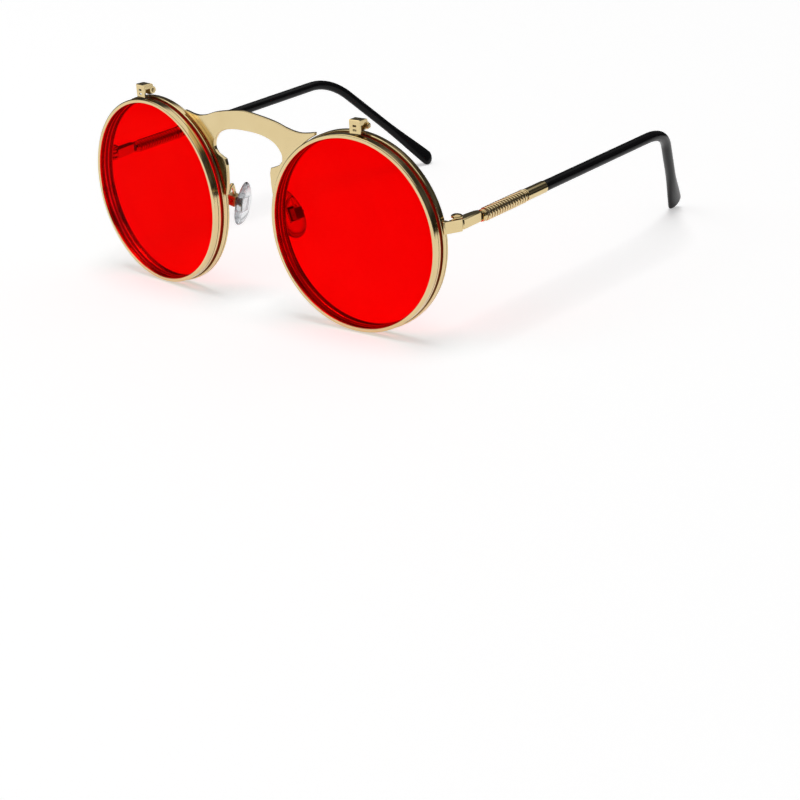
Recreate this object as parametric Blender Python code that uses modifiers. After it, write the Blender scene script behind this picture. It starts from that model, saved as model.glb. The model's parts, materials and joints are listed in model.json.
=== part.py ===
"""Round flip-up glasses: wire rims, a stamped keyhole bridge and coil-sprung temples.

Metres, +Z up. The wearer looks along -Y and has their left side at +X. The glasses stand
on the floor on their two fixed rims and on the tips of their open temples, with the
middle of their box at X = 0 and Y = 0.

Each half is modelled as the wearer's left one. The right half hangs under an empty that
mirrors it. The front of a half has its own frame: u runs outward along the lens plane, v
runs backward and z runs up from the height of the lens centres.
"""

import math
from dataclasses import dataclass

import bmesh
import bpy
from mathutils import Matrix, Vector

MM = 0.001

# Clearances that everything shares
FIT_GAP = 0.25 * MM
CUT_OVERRUN = 1.0 * MM
WELD = 0.0005 * MM

# Front: how large the lenses are and how far apart they lie
LENS_OPENING_RADIUS = 25.0 * MM
LENS_SPACING = 23.0 * MM
LENS_CENTRE_OUT = LENS_OPENING_RADIUS + LENS_SPACING / 2
FACE_WRAP = math.radians(4.5)

# Lenses
LENS_THICKNESS = 1.0 * MM
LENS_EDGE_THICKNESS = 0.5 * MM
LENS_BITE = 0.35 * MM
LENS_BEVEL = 0.65 * MM
LENS_DOME = 0.9 * MM
LENS_RING_SHARES = (0.0, 0.55)
LENS_STEPS = 40

# Rims
RIM_GAP = 0.8 * MM
REAR_RIM_WALL = 1.4 * MM
REAR_RIM_DEPTH = 1.9 * MM
FLIP_RIM_WALL = 1.05 * MM
FLIP_RIM_DEPTH = 2.3 * MM
RIM_EDGE = 0.22 * MM
RIM_STEPS = 48
REAR_RIM_RADIUS = LENS_OPENING_RADIUS + REAR_RIM_WALL
FLIP_RIM_RADIUS = LENS_OPENING_RADIUS + FLIP_RIM_WALL

# Bridge plate: shares of the lens centre's distance and of the fixed rim's radius. The legs
# lie between the rims, so theirs are shares of the rim's distance from the middle instead.
BRIDGE_THICKNESS = 1.0 * MM
BRIDGE_TOP_SHARES = (
    (0.000, 1.036),
    (0.150, 1.012),
    (0.300, 0.970),
    (0.400, 0.925),
    (0.490, 0.899),
    (0.560, 0.900),
    (0.658, 0.922),
)
BRIDGE_ARCH_SHARES = (
    (0.000, 0.836),
    (0.100, 0.831),
    (0.205, 0.803),
    (0.288, 0.748),
    (0.337, 0.665),
    (0.343, 0.592),
    (0.315, 0.540),
)
BRIDGE_HOOK_SHARES = (
    (0.275, 0.518),
    (0.233, 0.497),
)
BRIDGE_LEG_SHARES = (
    (0.802, 0.440),
    (0.817, 0.290),
    (0.860, 0.180),
    (0.911, 0.110),
)
BRIDGE_CURVE_STEPS = 4
BRIDGE_RIM_STEPS = 14

# Flip hinge on top of each fixed rim
FLIP_HINGE_OUT = 2.5 * MM
FLIP_AXIS_BACK = 0.6 * MM
FLIP_AXIS_RISE = 1.6 * MM
FLIP_KNUCKLE_RADIUS = 0.9 * MM
FLIP_KNUCKLE_WIDTH = 1.3 * MM
FLIP_EAR_WIDTH = 0.8 * MM
FLIP_EAR_RADIUS = 1.0 * MM
FLIP_HOLE_RADIUS = 0.5 * MM
FLIP_PIN_RADIUS = 0.3 * MM
FLIP_PIN_HEAD_RADIUS = 0.78 * MM
FLIP_PIN_HEAD_HEIGHT = 0.45 * MM
FLIP_SLOT_WIDTH = 0.25 * MM
FLIP_SLOT_DEPTH = 0.22 * MM
FLIP_HOOD_TOP = 1.85 * MM
FLIP_HOOD_SHEET = 0.32 * MM
FLIP_HOOD_FRONT = 3.0 * MM
FLIP_HOOD_BACK = 0.35 * MM
FLIP_HOOD_BEVEL = 0.12 * MM
FLIP_CHEEK_DROP = 0.9 * MM
FLIP_SPRING_SHEET = 0.14 * MM
FLIP_WINDOW_WIDTH = 1.1 * MM
FLIP_WINDOW_HEIGHT = 0.5 * MM
FLIP_WINDOW_RISES = (-0.75 * MM, 0.35 * MM)
FLIP_POST_INSET = 0.2 * MM
FLIP_CHEEK_INSET = 0.08 * MM
FLIP_STEPS = 16

# Temple hinge on the end piece
HINGE_OUT = 1.05 * MM
HINGE_BACK = 4.4 * MM
HINGE_RISE = 4.8 * MM
HINGE_LEAN = math.radians(2)
END_HEIGHT = 3.2 * MM
END_FACE_OUT = 1.38 * MM
END_FLARE = math.radians(24.7)
END_SEAM_BACK = 0.3 * MM
END_CHAMFER = 0.15 * MM
END_FRONT_RECESS = 0.1 * MM
END_WEB_IN = 0.5 * MM
END_BEVEL = 0.12 * MM
BARREL_RADIUS = 1.05 * MM
KNUCKLE_RADIUS = 0.88 * MM
KNUCKLE_HEIGHT = 1.0 * MM
SCREW_SHAFT_RADIUS = 0.3 * MM
SCREW_HOLE_RADIUS = 0.52 * MM
SCREW_HEAD_RADIUS = 1.5 * MM
SCREW_HEAD_HEIGHT = 0.9 * MM
SCREW_HEAD_RIM = 0.3 * MM
SCREW_SLOT_WIDTH = 0.35 * MM
SCREW_SLOT_DEPTH = 0.35 * MM
SCREW_STEPS = 20

# Temple: distances along it are from the hinge axis
TEMPLE_OUT = 0.7 * MM
TEMPLE_DROP = 0.3 * MM
TEMPLE_PITCH = math.radians(1.6)
BLOCK_LENGTH = 8.1 * MM
BLOCK_HEIGHT = 2.8 * MM
BLOCK_IN = 1.15 * MM
BLOCK_FACE_OUT = 1.75 * MM
BLOCK_REAR_WIDTH = 2.1 * MM
BLOCK_REAR_CHAMFER = 0.6 * MM
BLOCK_BEVEL = 0.3 * MM
COLLAR_LENGTH = 1.4 * MM
COLLAR_RADIUS = 1.6 * MM
COLLAR_BEAD = 0.35 * MM
COLLAR_GROOVE = 0.15 * MM
CORE_RADIUS = 0.85 * MM
CORE_BORE_RADIUS = 1.1 * MM
CORE_END_IN_FERRULE = 3.0 * MM
COIL_WIRE = 0.62 * MM
COIL_RADIUS = 1.8 * MM
COIL_PITCH = 1.05 * MM
COIL_TURNS = 15
COIL_POINTS_PER_TURN = 8
COIL_LEAST_GAP = 0.4 * MM
FERRULE_LENGTH = 8.3 * MM
FERRULE_RADIUS = 1.65 * MM
FERRULE_CHAMFER = 0.2 * MM
TURNED_STEPS = 20

# Sleeve: the black cover over the straight, the bend behind the ear and the tip
SLEEVE_RADIUS = 1.48 * MM
SPIGOT_RADIUS = 0.85 * MM
SPIGOT_GAP = 0.5 * MM
TEMPLE_STRAIGHT = 81.0 * MM
BEND_RADIUS = 29.1 * MM
BEND_ANGLE = math.radians(50.6)
BEND_INWARD = math.radians(26.8)
PADDLE_LENGTH = 24.0 * MM
PADDLE_HALF_WIDTH = 2.75 * MM
PADDLE_HALF_THICKNESS = 1.05 * MM
PADDLE_END_ROUNDING = 2.4 * MM
SLEEVE_SIDES = 12
SLEEVE_STRAIGHT_STEPS = 4
SLEEVE_BEND_STEPS = 12
SLEEVE_TIP_STEPS = 6
SLEEVE_END_SHARES = (0.40, 0.75, 0.93, 1.0)

# Nose pads
PAD_OUT = 9.6 * MM
PAD_BACK = 6.4 * MM
PAD_RISE = -0.8 * MM
PAD_HALF_WIDTH = 3.5 * MM
PAD_HALF_THICKNESS = 1.5 * MM
PAD_HALF_LENGTH = 6.6 * MM
PAD_TAPER_SHARE = 0.28
PAD_SPLAY = math.radians(18)
PAD_LEAN = math.radians(18)
PAD_SEGMENTS = 20
PAD_RINGS = 10
PAD_POCKET_HALF_WIDTH = 1.4 * MM
PAD_POCKET_HALF_LENGTH = 2.2 * MM
PAD_POCKET_FLOOR = 0.05 * MM
PAD_CORE_SHEET = 0.45 * MM
PAD_STEM_HALF_WIDTH = 0.5 * MM
PAD_STEM_HALF_LENGTH = 0.8 * MM
PAD_BOX_GAP = 0.45 * MM
PAD_BOX_DEPTH = 2.4 * MM
PAD_BOX_WALL = 0.45 * MM
PAD_SCREW_RADIUS = 0.25 * MM
PAD_SCREW_HOLE_RADIUS = 0.45 * MM
PAD_SCREW_HEAD_RADIUS = 0.6 * MM
PAD_SCREW_HEAD_HEIGHT = 0.4 * MM
PAD_SCREW_STEPS = 12
ARM_RADIUS = 0.5 * MM
ARM_FOOT_RISE = 2.6 * MM
ARM_FOOT_IN = 0.3 * MM
ARM_LOOP_RISE = 2.0 * MM
ARM_LOOP_BACK = 2.3 * MM
ARM_CURVE_STEPS = 5

SMOOTH_BELOW = math.radians(35)
QUARTER_TURN = math.radians(90)
FULL_TURN = math.radians(360)


@dataclass(frozen=True)
class Side:
    """One half: its name, the sign of X there and the lean of its temple hinge."""

    name: str
    sign: int
    lean: float


SIDES = (Side("left", 1, HINGE_LEAN), Side("right", -1, -HINGE_LEAN))

# Finishes: colour, roughness and metallic value
FINISHES = {
    "pale_gold": ((0.83, 0.66, 0.36, 1.0), 0.18, 1.0),
    "screw_gold": ((0.70, 0.54, 0.28, 1.0), 0.25, 1.0),
    "spring_gold": ((0.86, 0.70, 0.40, 1.0), 0.2, 1.0),
    "spring_steel": ((0.55, 0.54, 0.52, 1.0), 0.3, 1.0),
    "red_lens": ((0.86, 0.0, 0.01, 1.0), 0.06, 0.0),
    "black_sleeve": ((0.012, 0.012, 0.013, 1.0), 0.35, 0.0),
    "clear_silicone": ((0.86, 0.87, 0.88, 1.0), 0.2, 0.0),
}


def clear_scene():
    """Removes what the file opened with."""
    for obj in list(bpy.data.objects):
        bpy.data.objects.remove(obj, do_unlink=True)


def make_collection(name):
    collection = bpy.data.collections.new(name)
    bpy.context.scene.collection.children.link(collection)
    return collection


def make_material(name):
    colour, roughness, metallic = FINISHES[name]
    material = bpy.data.materials.new(name)
    material.use_nodes = True
    shader = material.node_tree.nodes["Principled BSDF"]
    shader.inputs["Base Color"].default_value = colour
    shader.inputs["Roughness"].default_value = roughness
    shader.inputs["Metallic"].default_value = metallic
    material.diffuse_color = colour
    return material


def make_empty(name, parent, location=(0, 0, 0), rotation=(0, 0, 0), scale=(1, 1, 1)):
    empty = bpy.data.objects.new(name, None)
    bpy.context.scene.collection.objects.link(empty)
    empty.parent = parent
    empty.location = location
    empty.rotation_euler = rotation
    empty.scale = scale
    empty.empty_display_size = BEND_RADIUS
    return empty


def scratch(data):
    """A working object, which finished_mesh removes."""
    obj = bpy.data.objects.new("scratch", data)
    bpy.context.scene.collection.objects.link(obj)
    return obj


def welded(mesh):
    """Closes the seams that a curve's caps or a turned profile leave, and faces it outward."""
    shape = bmesh.new()
    shape.from_mesh(mesh)
    bmesh.ops.remove_doubles(shape, verts=shape.verts, dist=WELD)
    bmesh.ops.recalc_face_normals(shape, faces=shape.faces)
    shape.to_mesh(mesh)
    shape.free()
    return mesh


def finished_mesh(obj):
    """The object's shape with its modifiers applied. The object itself is removed."""
    bpy.context.view_layer.update()
    graph = bpy.context.evaluated_depsgraph_get()
    mesh = bpy.data.meshes.new_from_object(obj.evaluated_get(graph))
    bpy.data.objects.remove(obj, do_unlink=True)
    return welded(mesh)


def combined(base, others, operation):
    """The base mesh joined with, or cut by, the others."""
    obj = scratch(base)
    tools = [scratch(other) for other in others]
    for tool in tools:
        boolean = obj.modifiers.new(operation.lower(), "BOOLEAN")
        boolean.operation = operation
        boolean.solver = "EXACT"
        boolean.object = tool
    mesh = finished_mesh(obj)
    for tool in tools:
        bpy.data.objects.remove(tool, do_unlink=True)
    return mesh


def joined(base, *others):
    return combined(base, others, "UNION")


def cut(base, *others):
    return combined(base, others, "DIFFERENCE")


def bevelled(mesh, width, segments=1):
    obj = scratch(mesh)
    bevel = obj.modifiers.new("edges", "BEVEL")
    bevel.width = width
    bevel.segments = segments
    bevel.limit_method = "ANGLE"
    return finished_mesh(obj)


def moved(mesh, matrix):
    mesh.transform(matrix)
    return mesh


def block(low, high):
    """A box between two corners."""
    low, high = Vector(low), Vector(high)
    shape = bmesh.new()
    bmesh.ops.create_cube(shape, size=1)
    bmesh.ops.scale(shape, vec=high - low, verts=shape.verts)
    bmesh.ops.translate(shape, vec=(low + high) / 2, verts=shape.verts)
    mesh = bpy.data.meshes.new("block")
    shape.to_mesh(mesh)
    shape.free()
    return mesh


def rod(radius, low, high, steps):
    """A round bar along Z."""
    shape = bmesh.new()
    bmesh.ops.create_cone(
        shape,
        cap_ends=True,
        segments=steps,
        radius1=radius,
        radius2=radius,
        depth=high - low,
    )
    bmesh.ops.translate(shape, vec=(0, 0, (low + high) / 2), verts=shape.verts)
    mesh = bpy.data.meshes.new("rod")
    shape.to_mesh(mesh)
    shape.free()
    return mesh


def turned(profile, steps, ring=False):
    """A profile of (radius, height) pairs turned about Z, from its top down its outer side."""
    mesh = bpy.data.meshes.new("profile")
    edges = [(i, i + 1) for i in range(len(profile) - 1)]
    if ring:
        edges.append((len(profile) - 1, 0))
    mesh.from_pydata([(radius, 0, height) for radius, height in profile], edges, [])
    obj = scratch(mesh)
    screw = obj.modifiers.new("turn", "SCREW")
    screw.axis = "Z"
    screw.angle = FULL_TURN
    screw.steps = steps
    screw.render_steps = steps
    screw.use_merge_vertices = True
    screw.merge_threshold = WELD
    return finished_mesh(obj)


def plate(outline, thickness):
    """A flat outline in XY, extruded half its thickness each way along Z."""
    curve = bpy.data.curves.new("outline", "CURVE")
    curve.dimensions = "2D"
    curve.fill_mode = "BOTH"
    curve.extrude = thickness / 2
    spline = curve.splines.new("POLY")
    spline.points.add(len(outline) - 1)
    for point, (x, y) in zip(spline.points, outline):
        point.co = (x, y, 0, 1)
    spline.use_cyclic_u = True
    return finished_mesh(scratch(curve))


def tube(points, radius, resolution):
    """A round wire through the points, with its ends closed."""
    curve = bpy.data.curves.new("wire", "CURVE")
    curve.dimensions = "3D"
    curve.bevel_depth = radius
    curve.bevel_resolution = resolution
    curve.use_fill_caps = True
    spline = curve.splines.new("POLY")
    spline.points.add(len(points) - 1)
    for point, place in zip(spline.points, points):
        point.co = (*place, 1)
    return finished_mesh(scratch(curve))


def lofted(sections):
    """A closed skin over rings of points, each as long as the next."""
    shape = bmesh.new()
    rings = [[shape.verts.new(point) for point in ring] for ring in sections]
    for ring, after in zip(rings, rings[1:]):
        for i in range(len(ring)):
            j = (i + 1) % len(ring)
            shape.faces.new((ring[i], ring[j], after[j], after[i]))
    shape.faces.new(rings[0])
    shape.faces.new(rings[-1])
    mesh = bpy.data.meshes.new("loft")
    shape.to_mesh(mesh)
    shape.free()
    return welded(mesh)


def smooth_run(points, steps):
    """Points on a Catmull-Rom curve through the given ones."""
    points = [Vector(point) for point in points]
    ends = [2 * points[0] - points[1], *points, 2 * points[-1] - points[-2]]
    found = [points[0]]
    for a, b, c, d in zip(ends, ends[1:], ends[2:], ends[3:]):
        for i in range(1, steps + 1):
            t = i / steps
            found.append(
                (2 * b + (c - a) * t + (2 * a - 5 * b + 4 * c - d) * t**2 + (3 * b - a - 3 * c + d) * t**3) / 2
            )
    return found


def add_part(name, mesh, finish, parent, matrix=Matrix()):
    """Puts a finished mesh in the model, under the empty that carries it."""
    mesh.name = name
    mesh.shade_smooth()
    mesh.set_sharp_from_angle(angle=SMOOTH_BELOW)
    obj = bpy.data.objects.new(name, mesh)
    bpy.data.collections["glasses"].objects.link(obj)
    mesh.materials.clear()
    mesh.materials.append(bpy.data.materials[finish])
    obj.parent = parent
    obj.matrix_local = matrix
    return obj


# A turned piece lies along Z. These turn it to face along v, along u and along a temple.
FACE_FORWARD = Matrix.Rotation(QUARTER_TURN, 4, "X")
FACE_OUTWARD = Matrix.Rotation(QUARTER_TURN, 4, "Y")
ALONG_TEMPLE = Matrix.Rotation(TEMPLE_PITCH - QUARTER_TURN, 4, "X")
TEMPLE_ORIGIN = Vector((TEMPLE_OUT, 0, -TEMPLE_DROP))
TEMPLE_PLACE = Matrix.Translation(TEMPLE_ORIGIN) @ ALONG_TEMPLE
FRONT = Matrix.Rotation(FACE_WRAP, 4, "Z")
LENS_CENTRE = Vector((LENS_CENTRE_OUT, 0, 0))
FLIP_AXIS = Vector(
    (LENS_CENTRE_OUT + FLIP_HINGE_OUT, FLIP_AXIS_BACK, REAR_RIM_RADIUS + FLIP_AXIS_RISE)
)
HINGE_POINT = FRONT @ Vector((LENS_CENTRE_OUT + REAR_RIM_RADIUS + HINGE_OUT, HINGE_BACK, HINGE_RISE))


def rim_profile(outer_radius, depth):
    """A rim's section: chamfered outer edges and a groove inside that holds the lens."""
    half = depth / 2
    inner = LENS_OPENING_RADIUS
    lip = LENS_THICKNESS / 2 - (LENS_THICKNESS - LENS_EDGE_THICKNESS) * (LENS_BEVEL - LENS_BITE) / LENS_BEVEL / 2
    mouth = lip + FIT_GAP
    floor = LENS_EDGE_THICKNESS / 2 + FIT_GAP
    groove = inner + LENS_BITE + FIT_GAP
    return [
        (outer_radius - RIM_EDGE, half),
        (outer_radius, half - RIM_EDGE),
        (outer_radius, RIM_EDGE - half),
        (outer_radius - RIM_EDGE, -half),
        (inner, -half),
        (inner, -mouth),
        (groove, -floor),
        (groove, floor),
        (inner, mouth),
        (inner, half),
    ]


def lens_profile():
    """A lens's section: domed forward, with a bevelled edge that enters the rim's groove."""
    edge = LENS_OPENING_RADIUS + LENS_BITE
    flat = edge - LENS_BEVEL
    half = LENS_THICKNESS / 2
    edge_half = LENS_EDGE_THICKNESS / 2
    front = [(flat * share, half + LENS_DOME * (1 - share**2)) for share in LENS_RING_SHARES]
    back = [(radius, height - LENS_THICKNESS) for radius, height in reversed(front)]
    return [*front, (flat, half), (edge, edge_half), (edge, -edge_half), (flat, -half), *back]


def build_rims(side, front, flip):
    """The fixed rim and lens behind, and the hinged rim and lens in front."""
    rear_middle = REAR_RIM_DEPTH / 2
    flip_middle = -RIM_GAP - FLIP_RIM_DEPTH / 2
    rear = Matrix.Translation(LENS_CENTRE + Vector((0, rear_middle, 0))) @ FACE_FORWARD
    ahead = Matrix.Translation(LENS_CENTRE + Vector((0, flip_middle, 0)) - FLIP_AXIS) @ FACE_FORWARD
    rear_rim = turned(rim_profile(REAR_RIM_RADIUS, REAR_RIM_DEPTH), RIM_STEPS, ring=True)
    flip_rim = turned(rim_profile(FLIP_RIM_RADIUS, FLIP_RIM_DEPTH), RIM_STEPS, ring=True)
    add_part(f"rear_rim_{side.name}", rear_rim, "pale_gold", front, rear)
    add_part(f"rear_lens_{side.name}", turned(lens_profile(), LENS_STEPS), "red_lens", front, rear)
    add_part(f"flip_rim_{side.name}", flip_rim, "pale_gold", flip, ahead)
    add_part(f"flip_lens_{side.name}", turned(lens_profile(), LENS_STEPS), "red_lens", flip, ahead)


def bridge_outline():
    """Half of the bridge plate in u and z, from its top middle outward and back inward."""

    def placed(shares, reach=LENS_CENTRE_OUT):
        return [Vector((reach * a, REAR_RIM_RADIUS * b)) for a, b in shares]

    top = smooth_run(placed(BRIDGE_TOP_SHARES), BRIDGE_CURVE_STEPS)
    arch = smooth_run(placed(BRIDGE_ARCH_SHARES), BRIDGE_CURVE_STEPS)
    hook = placed(BRIDGE_HOOK_SHARES)
    rim_out = LENS_CENTRE_OUT - REAR_RIM_RADIUS
    leg = smooth_run(placed(BRIDGE_LEG_SHARES, rim_out), BRIDGE_CURVE_STEPS)
    radius = REAR_RIM_RADIUS + FIT_GAP
    first = math.acos((LENS_CENTRE_OUT - top[-1].x) / radius)
    last = math.asin(leg[-1].y / radius)
    along_rim = []
    for i in range(BRIDGE_RIM_STEPS + 1):
        angle = first + (last - first) * i / BRIDGE_RIM_STEPS
        along_rim.append(Vector((LENS_CENTRE_OUT - radius * math.cos(angle), radius * math.sin(angle))))
    inner = [*arch, *hook, *leg]
    return [*top, *along_rim, *reversed(inner)]


def build_bridge(root):
    """The stamped bridge plate: one sheet, bent at the middle and soldered along both rims."""
    half = plate(bridge_outline(), BRIDGE_THICKNESS)
    middle = Matrix.Translation(Vector((0, REAR_RIM_DEPTH / 2, 0)))
    moved(half, FRONT @ middle @ FACE_FORWARD)
    obj = scratch(half)
    mirror = obj.modifiers.new("other half", "MIRROR")
    mirror.use_axis[0] = True
    mirror.use_bisect_axis[0] = True
    mirror.bisect_threshold = WELD
    mirror.merge_threshold = WELD
    add_part("bridge_plate", finished_mesh(obj), "pale_gold", root)


def flip_ear_place():
    """How far from the middle the outer face of a hinge ear lies."""
    return FLIP_KNUCKLE_WIDTH / 2 + FIT_GAP + FLIP_EAR_WIDTH


def build_flip_base(side, front):
    """The post soldered on the fixed rim, with the middle knuckle of the flip hinge."""
    half = FLIP_KNUCKLE_WIDTH / 2
    foot = -FLIP_AXIS_RISE + FIT_GAP
    front_face = FLIP_POST_INSET - FLIP_AXIS_BACK
    back_face = REAR_RIM_DEPTH - FLIP_AXIS_BACK - FLIP_POST_INSET
    half_post = half - FLIP_CHEEK_INSET
    post = block((-half_post, front_face, foot), (half_post, back_face, -FLIP_KNUCKLE_RADIUS / 2))
    knuckle = moved(rod(FLIP_KNUCKLE_RADIUS, -half, half, FLIP_STEPS), FACE_OUTWARD)
    hole = rod(FLIP_HOLE_RADIUS, -half - CUT_OVERRUN, half + CUT_OVERRUN, FLIP_STEPS)
    shape = cut(joined(post, knuckle), moved(hole, FACE_OUTWARD))
    add_part(f"flip_base_{side.name}", shape, "pale_gold", front, Matrix.Translation(FLIP_AXIS))


def build_flip_hood(side, flip):
    """The folded cover: a front arm soldered to the flip rim, a flat top and two ears."""
    outer = flip_ear_place()
    inner = outer - FLIP_EAR_WIDTH
    beyond = outer + CUT_OVERRUN
    foot = FLIP_RIM_RADIUS - FLIP_AXIS.z + FIT_GAP
    front = -FLIP_HOOD_FRONT
    behind = front + FLIP_HOOD_SHEET
    under = FLIP_HOOD_TOP - FLIP_HOOD_SHEET
    shape = bevelled(block((-outer, front, foot), (outer, FLIP_HOOD_BACK, FLIP_HOOD_TOP)), FLIP_HOOD_BEVEL)
    inside = block((-inner, behind, foot - CUT_OVERRUN), (inner, FLIP_HOOD_BACK + CUT_OVERRUN, under))
    below = block((-beyond, behind, foot - CUT_OVERRUN), (beyond, FLIP_HOOD_BACK + CUT_OVERRUN, -FLIP_CHEEK_DROP))
    shape = cut(shape, inside, below)
    for side_sign in (-1, 1):
        ends = sorted((side_sign * (inner + FLIP_CHEEK_INSET), side_sign * (outer + FLIP_CHEEK_INSET)))
        shape = joined(shape, moved(rod(FLIP_EAR_RADIUS, *ends, FLIP_STEPS), FACE_OUTWARD))
    for rise in FLIP_WINDOW_RISES:
        low = (-FLIP_WINDOW_WIDTH / 2, front - CUT_OVERRUN, rise - FLIP_WINDOW_HEIGHT / 2)
        high = (FLIP_WINDOW_WIDTH / 2, behind + CUT_OVERRUN, rise + FLIP_WINDOW_HEIGHT / 2)
        shape = cut(shape, block(low, high))
    hole = rod(FLIP_HOLE_RADIUS, -beyond, beyond, FLIP_STEPS)
    shape = cut(shape, moved(hole, FACE_OUTWARD))
    add_part(f"flip_hood_{side.name}", shape, "pale_gold", flip)


def build_flip_spring(side, flip):
    """The leaf inside the hood that presses on the knuckle and holds the rim up or down."""
    half = FLIP_KNUCKLE_WIDTH / 2
    top = FLIP_HOOD_TOP - FLIP_HOOD_SHEET - FIT_GAP
    front = FLIP_HOOD_SHEET - FLIP_HOOD_FRONT + FIT_GAP
    leaf = block((-half, front, top - FLIP_SPRING_SHEET), (half, FLIP_KNUCKLE_RADIUS / 3, top))
    add_part(f"flip_spring_{side.name}", leaf, "spring_steel", flip)


def build_flip_pin(side, flip):
    """The slotted pin through the flip hinge, with its head on the outer ear."""
    outer = flip_ear_place()
    head_low = outer + FLIP_CHEEK_INSET + FIT_GAP
    head_top = head_low + FLIP_PIN_HEAD_HEIGHT
    edge = FLIP_PIN_HEAD_HEIGHT / 3
    profile = [
        (0, head_top),
        (FLIP_PIN_HEAD_RADIUS - edge, head_top),
        (FLIP_PIN_HEAD_RADIUS, head_top - edge),
        (FLIP_PIN_HEAD_RADIUS, head_low),
        (FLIP_PIN_RADIUS, head_low),
        (FLIP_PIN_RADIUS, -outer - FIT_GAP),
        (0, -outer - FIT_GAP),
    ]
    pin = turned(profile, FLIP_STEPS)
    slot = block(
        (-FLIP_SLOT_WIDTH / 2, -FLIP_PIN_HEAD_RADIUS - CUT_OVERRUN, head_top - FLIP_SLOT_DEPTH),
        (FLIP_SLOT_WIDTH / 2, FLIP_PIN_HEAD_RADIUS + CUT_OVERRUN, head_top + CUT_OVERRUN),
    )
    add_part(f"flip_pin_{side.name}", moved(cut(pin, slot), FACE_OUTWARD), "screw_gold", flip)


def end_outline():
    """The end piece in plan, about the hinge axis: from the rim, round the flared face."""
    wrap = Matrix.Rotation(FACE_WRAP, 2)
    hinge = Vector((HINGE_POINT.x, HINGE_POINT.y))

    def from_front(u, v):
        return wrap @ Vector((u, v)) - hinge

    outward = Vector((math.cos(END_FLARE), -math.sin(END_FLARE)))
    backward = Vector((math.sin(END_FLARE), math.cos(END_FLARE)))
    face = outward * END_FACE_OUT
    seam = face + backward * (END_SEAM_BACK - face.y) / backward.y
    across = wrap @ Vector((0, 1))
    start = from_front(0, END_FRONT_RECESS)
    corner = face + backward * (start - face).dot(across) / backward.dot(across)
    inward = wrap @ Vector((-1, 0))
    rim_u = LENS_CENTRE_OUT + REAR_RIM_RADIUS - REAR_RIM_WALL
    rim_back = REAR_RIM_DEPTH - END_FRONT_RECESS
    return [
        from_front(rim_u, END_FRONT_RECESS),
        corner + inward * END_CHAMFER,
        corner + backward * END_CHAMFER,
        seam,
        Vector((-END_WEB_IN, END_SEAM_BACK)),
        Vector((-END_WEB_IN, from_front(rim_u, rim_back).y)),
        from_front(rim_u, rim_back),
    ]


def build_end_piece(side, carrier):
    """The end piece soldered to the fixed rim, with the outer knuckles of the temple hinge."""
    half = END_HEIGHT / 2
    half_slot = KNUCKLE_HEIGHT / 2 + FIT_GAP
    lean = Matrix.Rotation(-side.lean, 4, "X")
    body = bevelled(plate(end_outline(), END_HEIGHT), END_BEVEL)
    barrel = rod(BARREL_RADIUS, -half + END_BEVEL, half - END_BEVEL, SCREW_STEPS)
    to_hinge = Matrix.Translation(-HINGE_POINT) @ FRONT @ Matrix.Translation(LENS_CENTRE) @ FACE_FORWARD
    reach = REAR_RIM_DEPTH + HINGE_BACK
    rim = rod(REAR_RIM_RADIUS + FIT_GAP, -reach, reach, RIM_STEPS)
    slot = rod(KNUCKLE_RADIUS + FIT_GAP, -half_slot, half_slot, SCREW_STEPS)
    hole = rod(SCREW_HOLE_RADIUS, -half - CUT_OVERRUN, half + CUT_OVERRUN, SCREW_STEPS)
    shape = joined(body, moved(barrel, lean))
    shape = cut(shape, moved(rim, to_hinge), moved(slot, lean), moved(hole, lean))
    add_part(f"end_piece_{side.name}", shape, "pale_gold", carrier)


def build_hinge_screw(side, carrier):
    """The temple hinge's screw: a slotted dome on top and a plain shaft down the barrel."""
    lean = Matrix.Rotation(-side.lean, 4, "X")
    low = END_HEIGHT / 2 + FIT_GAP
    top = low + SCREW_HEAD_HEIGHT
    rim = low + SCREW_HEAD_RIM
    dome = top - rim
    turns = [QUARTER_TURN * i / 3 for i in range(4)]
    curve = [(SCREW_HEAD_RADIUS * math.sin(turn), rim + dome * math.cos(turn)) for turn in turns]
    shaft = [(SCREW_SHAFT_RADIUS, low), (SCREW_SHAFT_RADIUS, -END_HEIGHT / 2), (0, -END_HEIGHT / 2)]
    screw = turned([*curve, (SCREW_HEAD_RADIUS, low), *shaft], SCREW_STEPS)
    reach = SCREW_HEAD_RADIUS + CUT_OVERRUN
    slot = block(
        (-SCREW_SLOT_WIDTH / 2, -reach, top - SCREW_SLOT_DEPTH),
        (SCREW_SLOT_WIDTH / 2, reach, top + CUT_OVERRUN),
    )
    add_part(f"hinge_screw_{side.name}", moved(cut(screw, slot), lean), "screw_gold", carrier)


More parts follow.
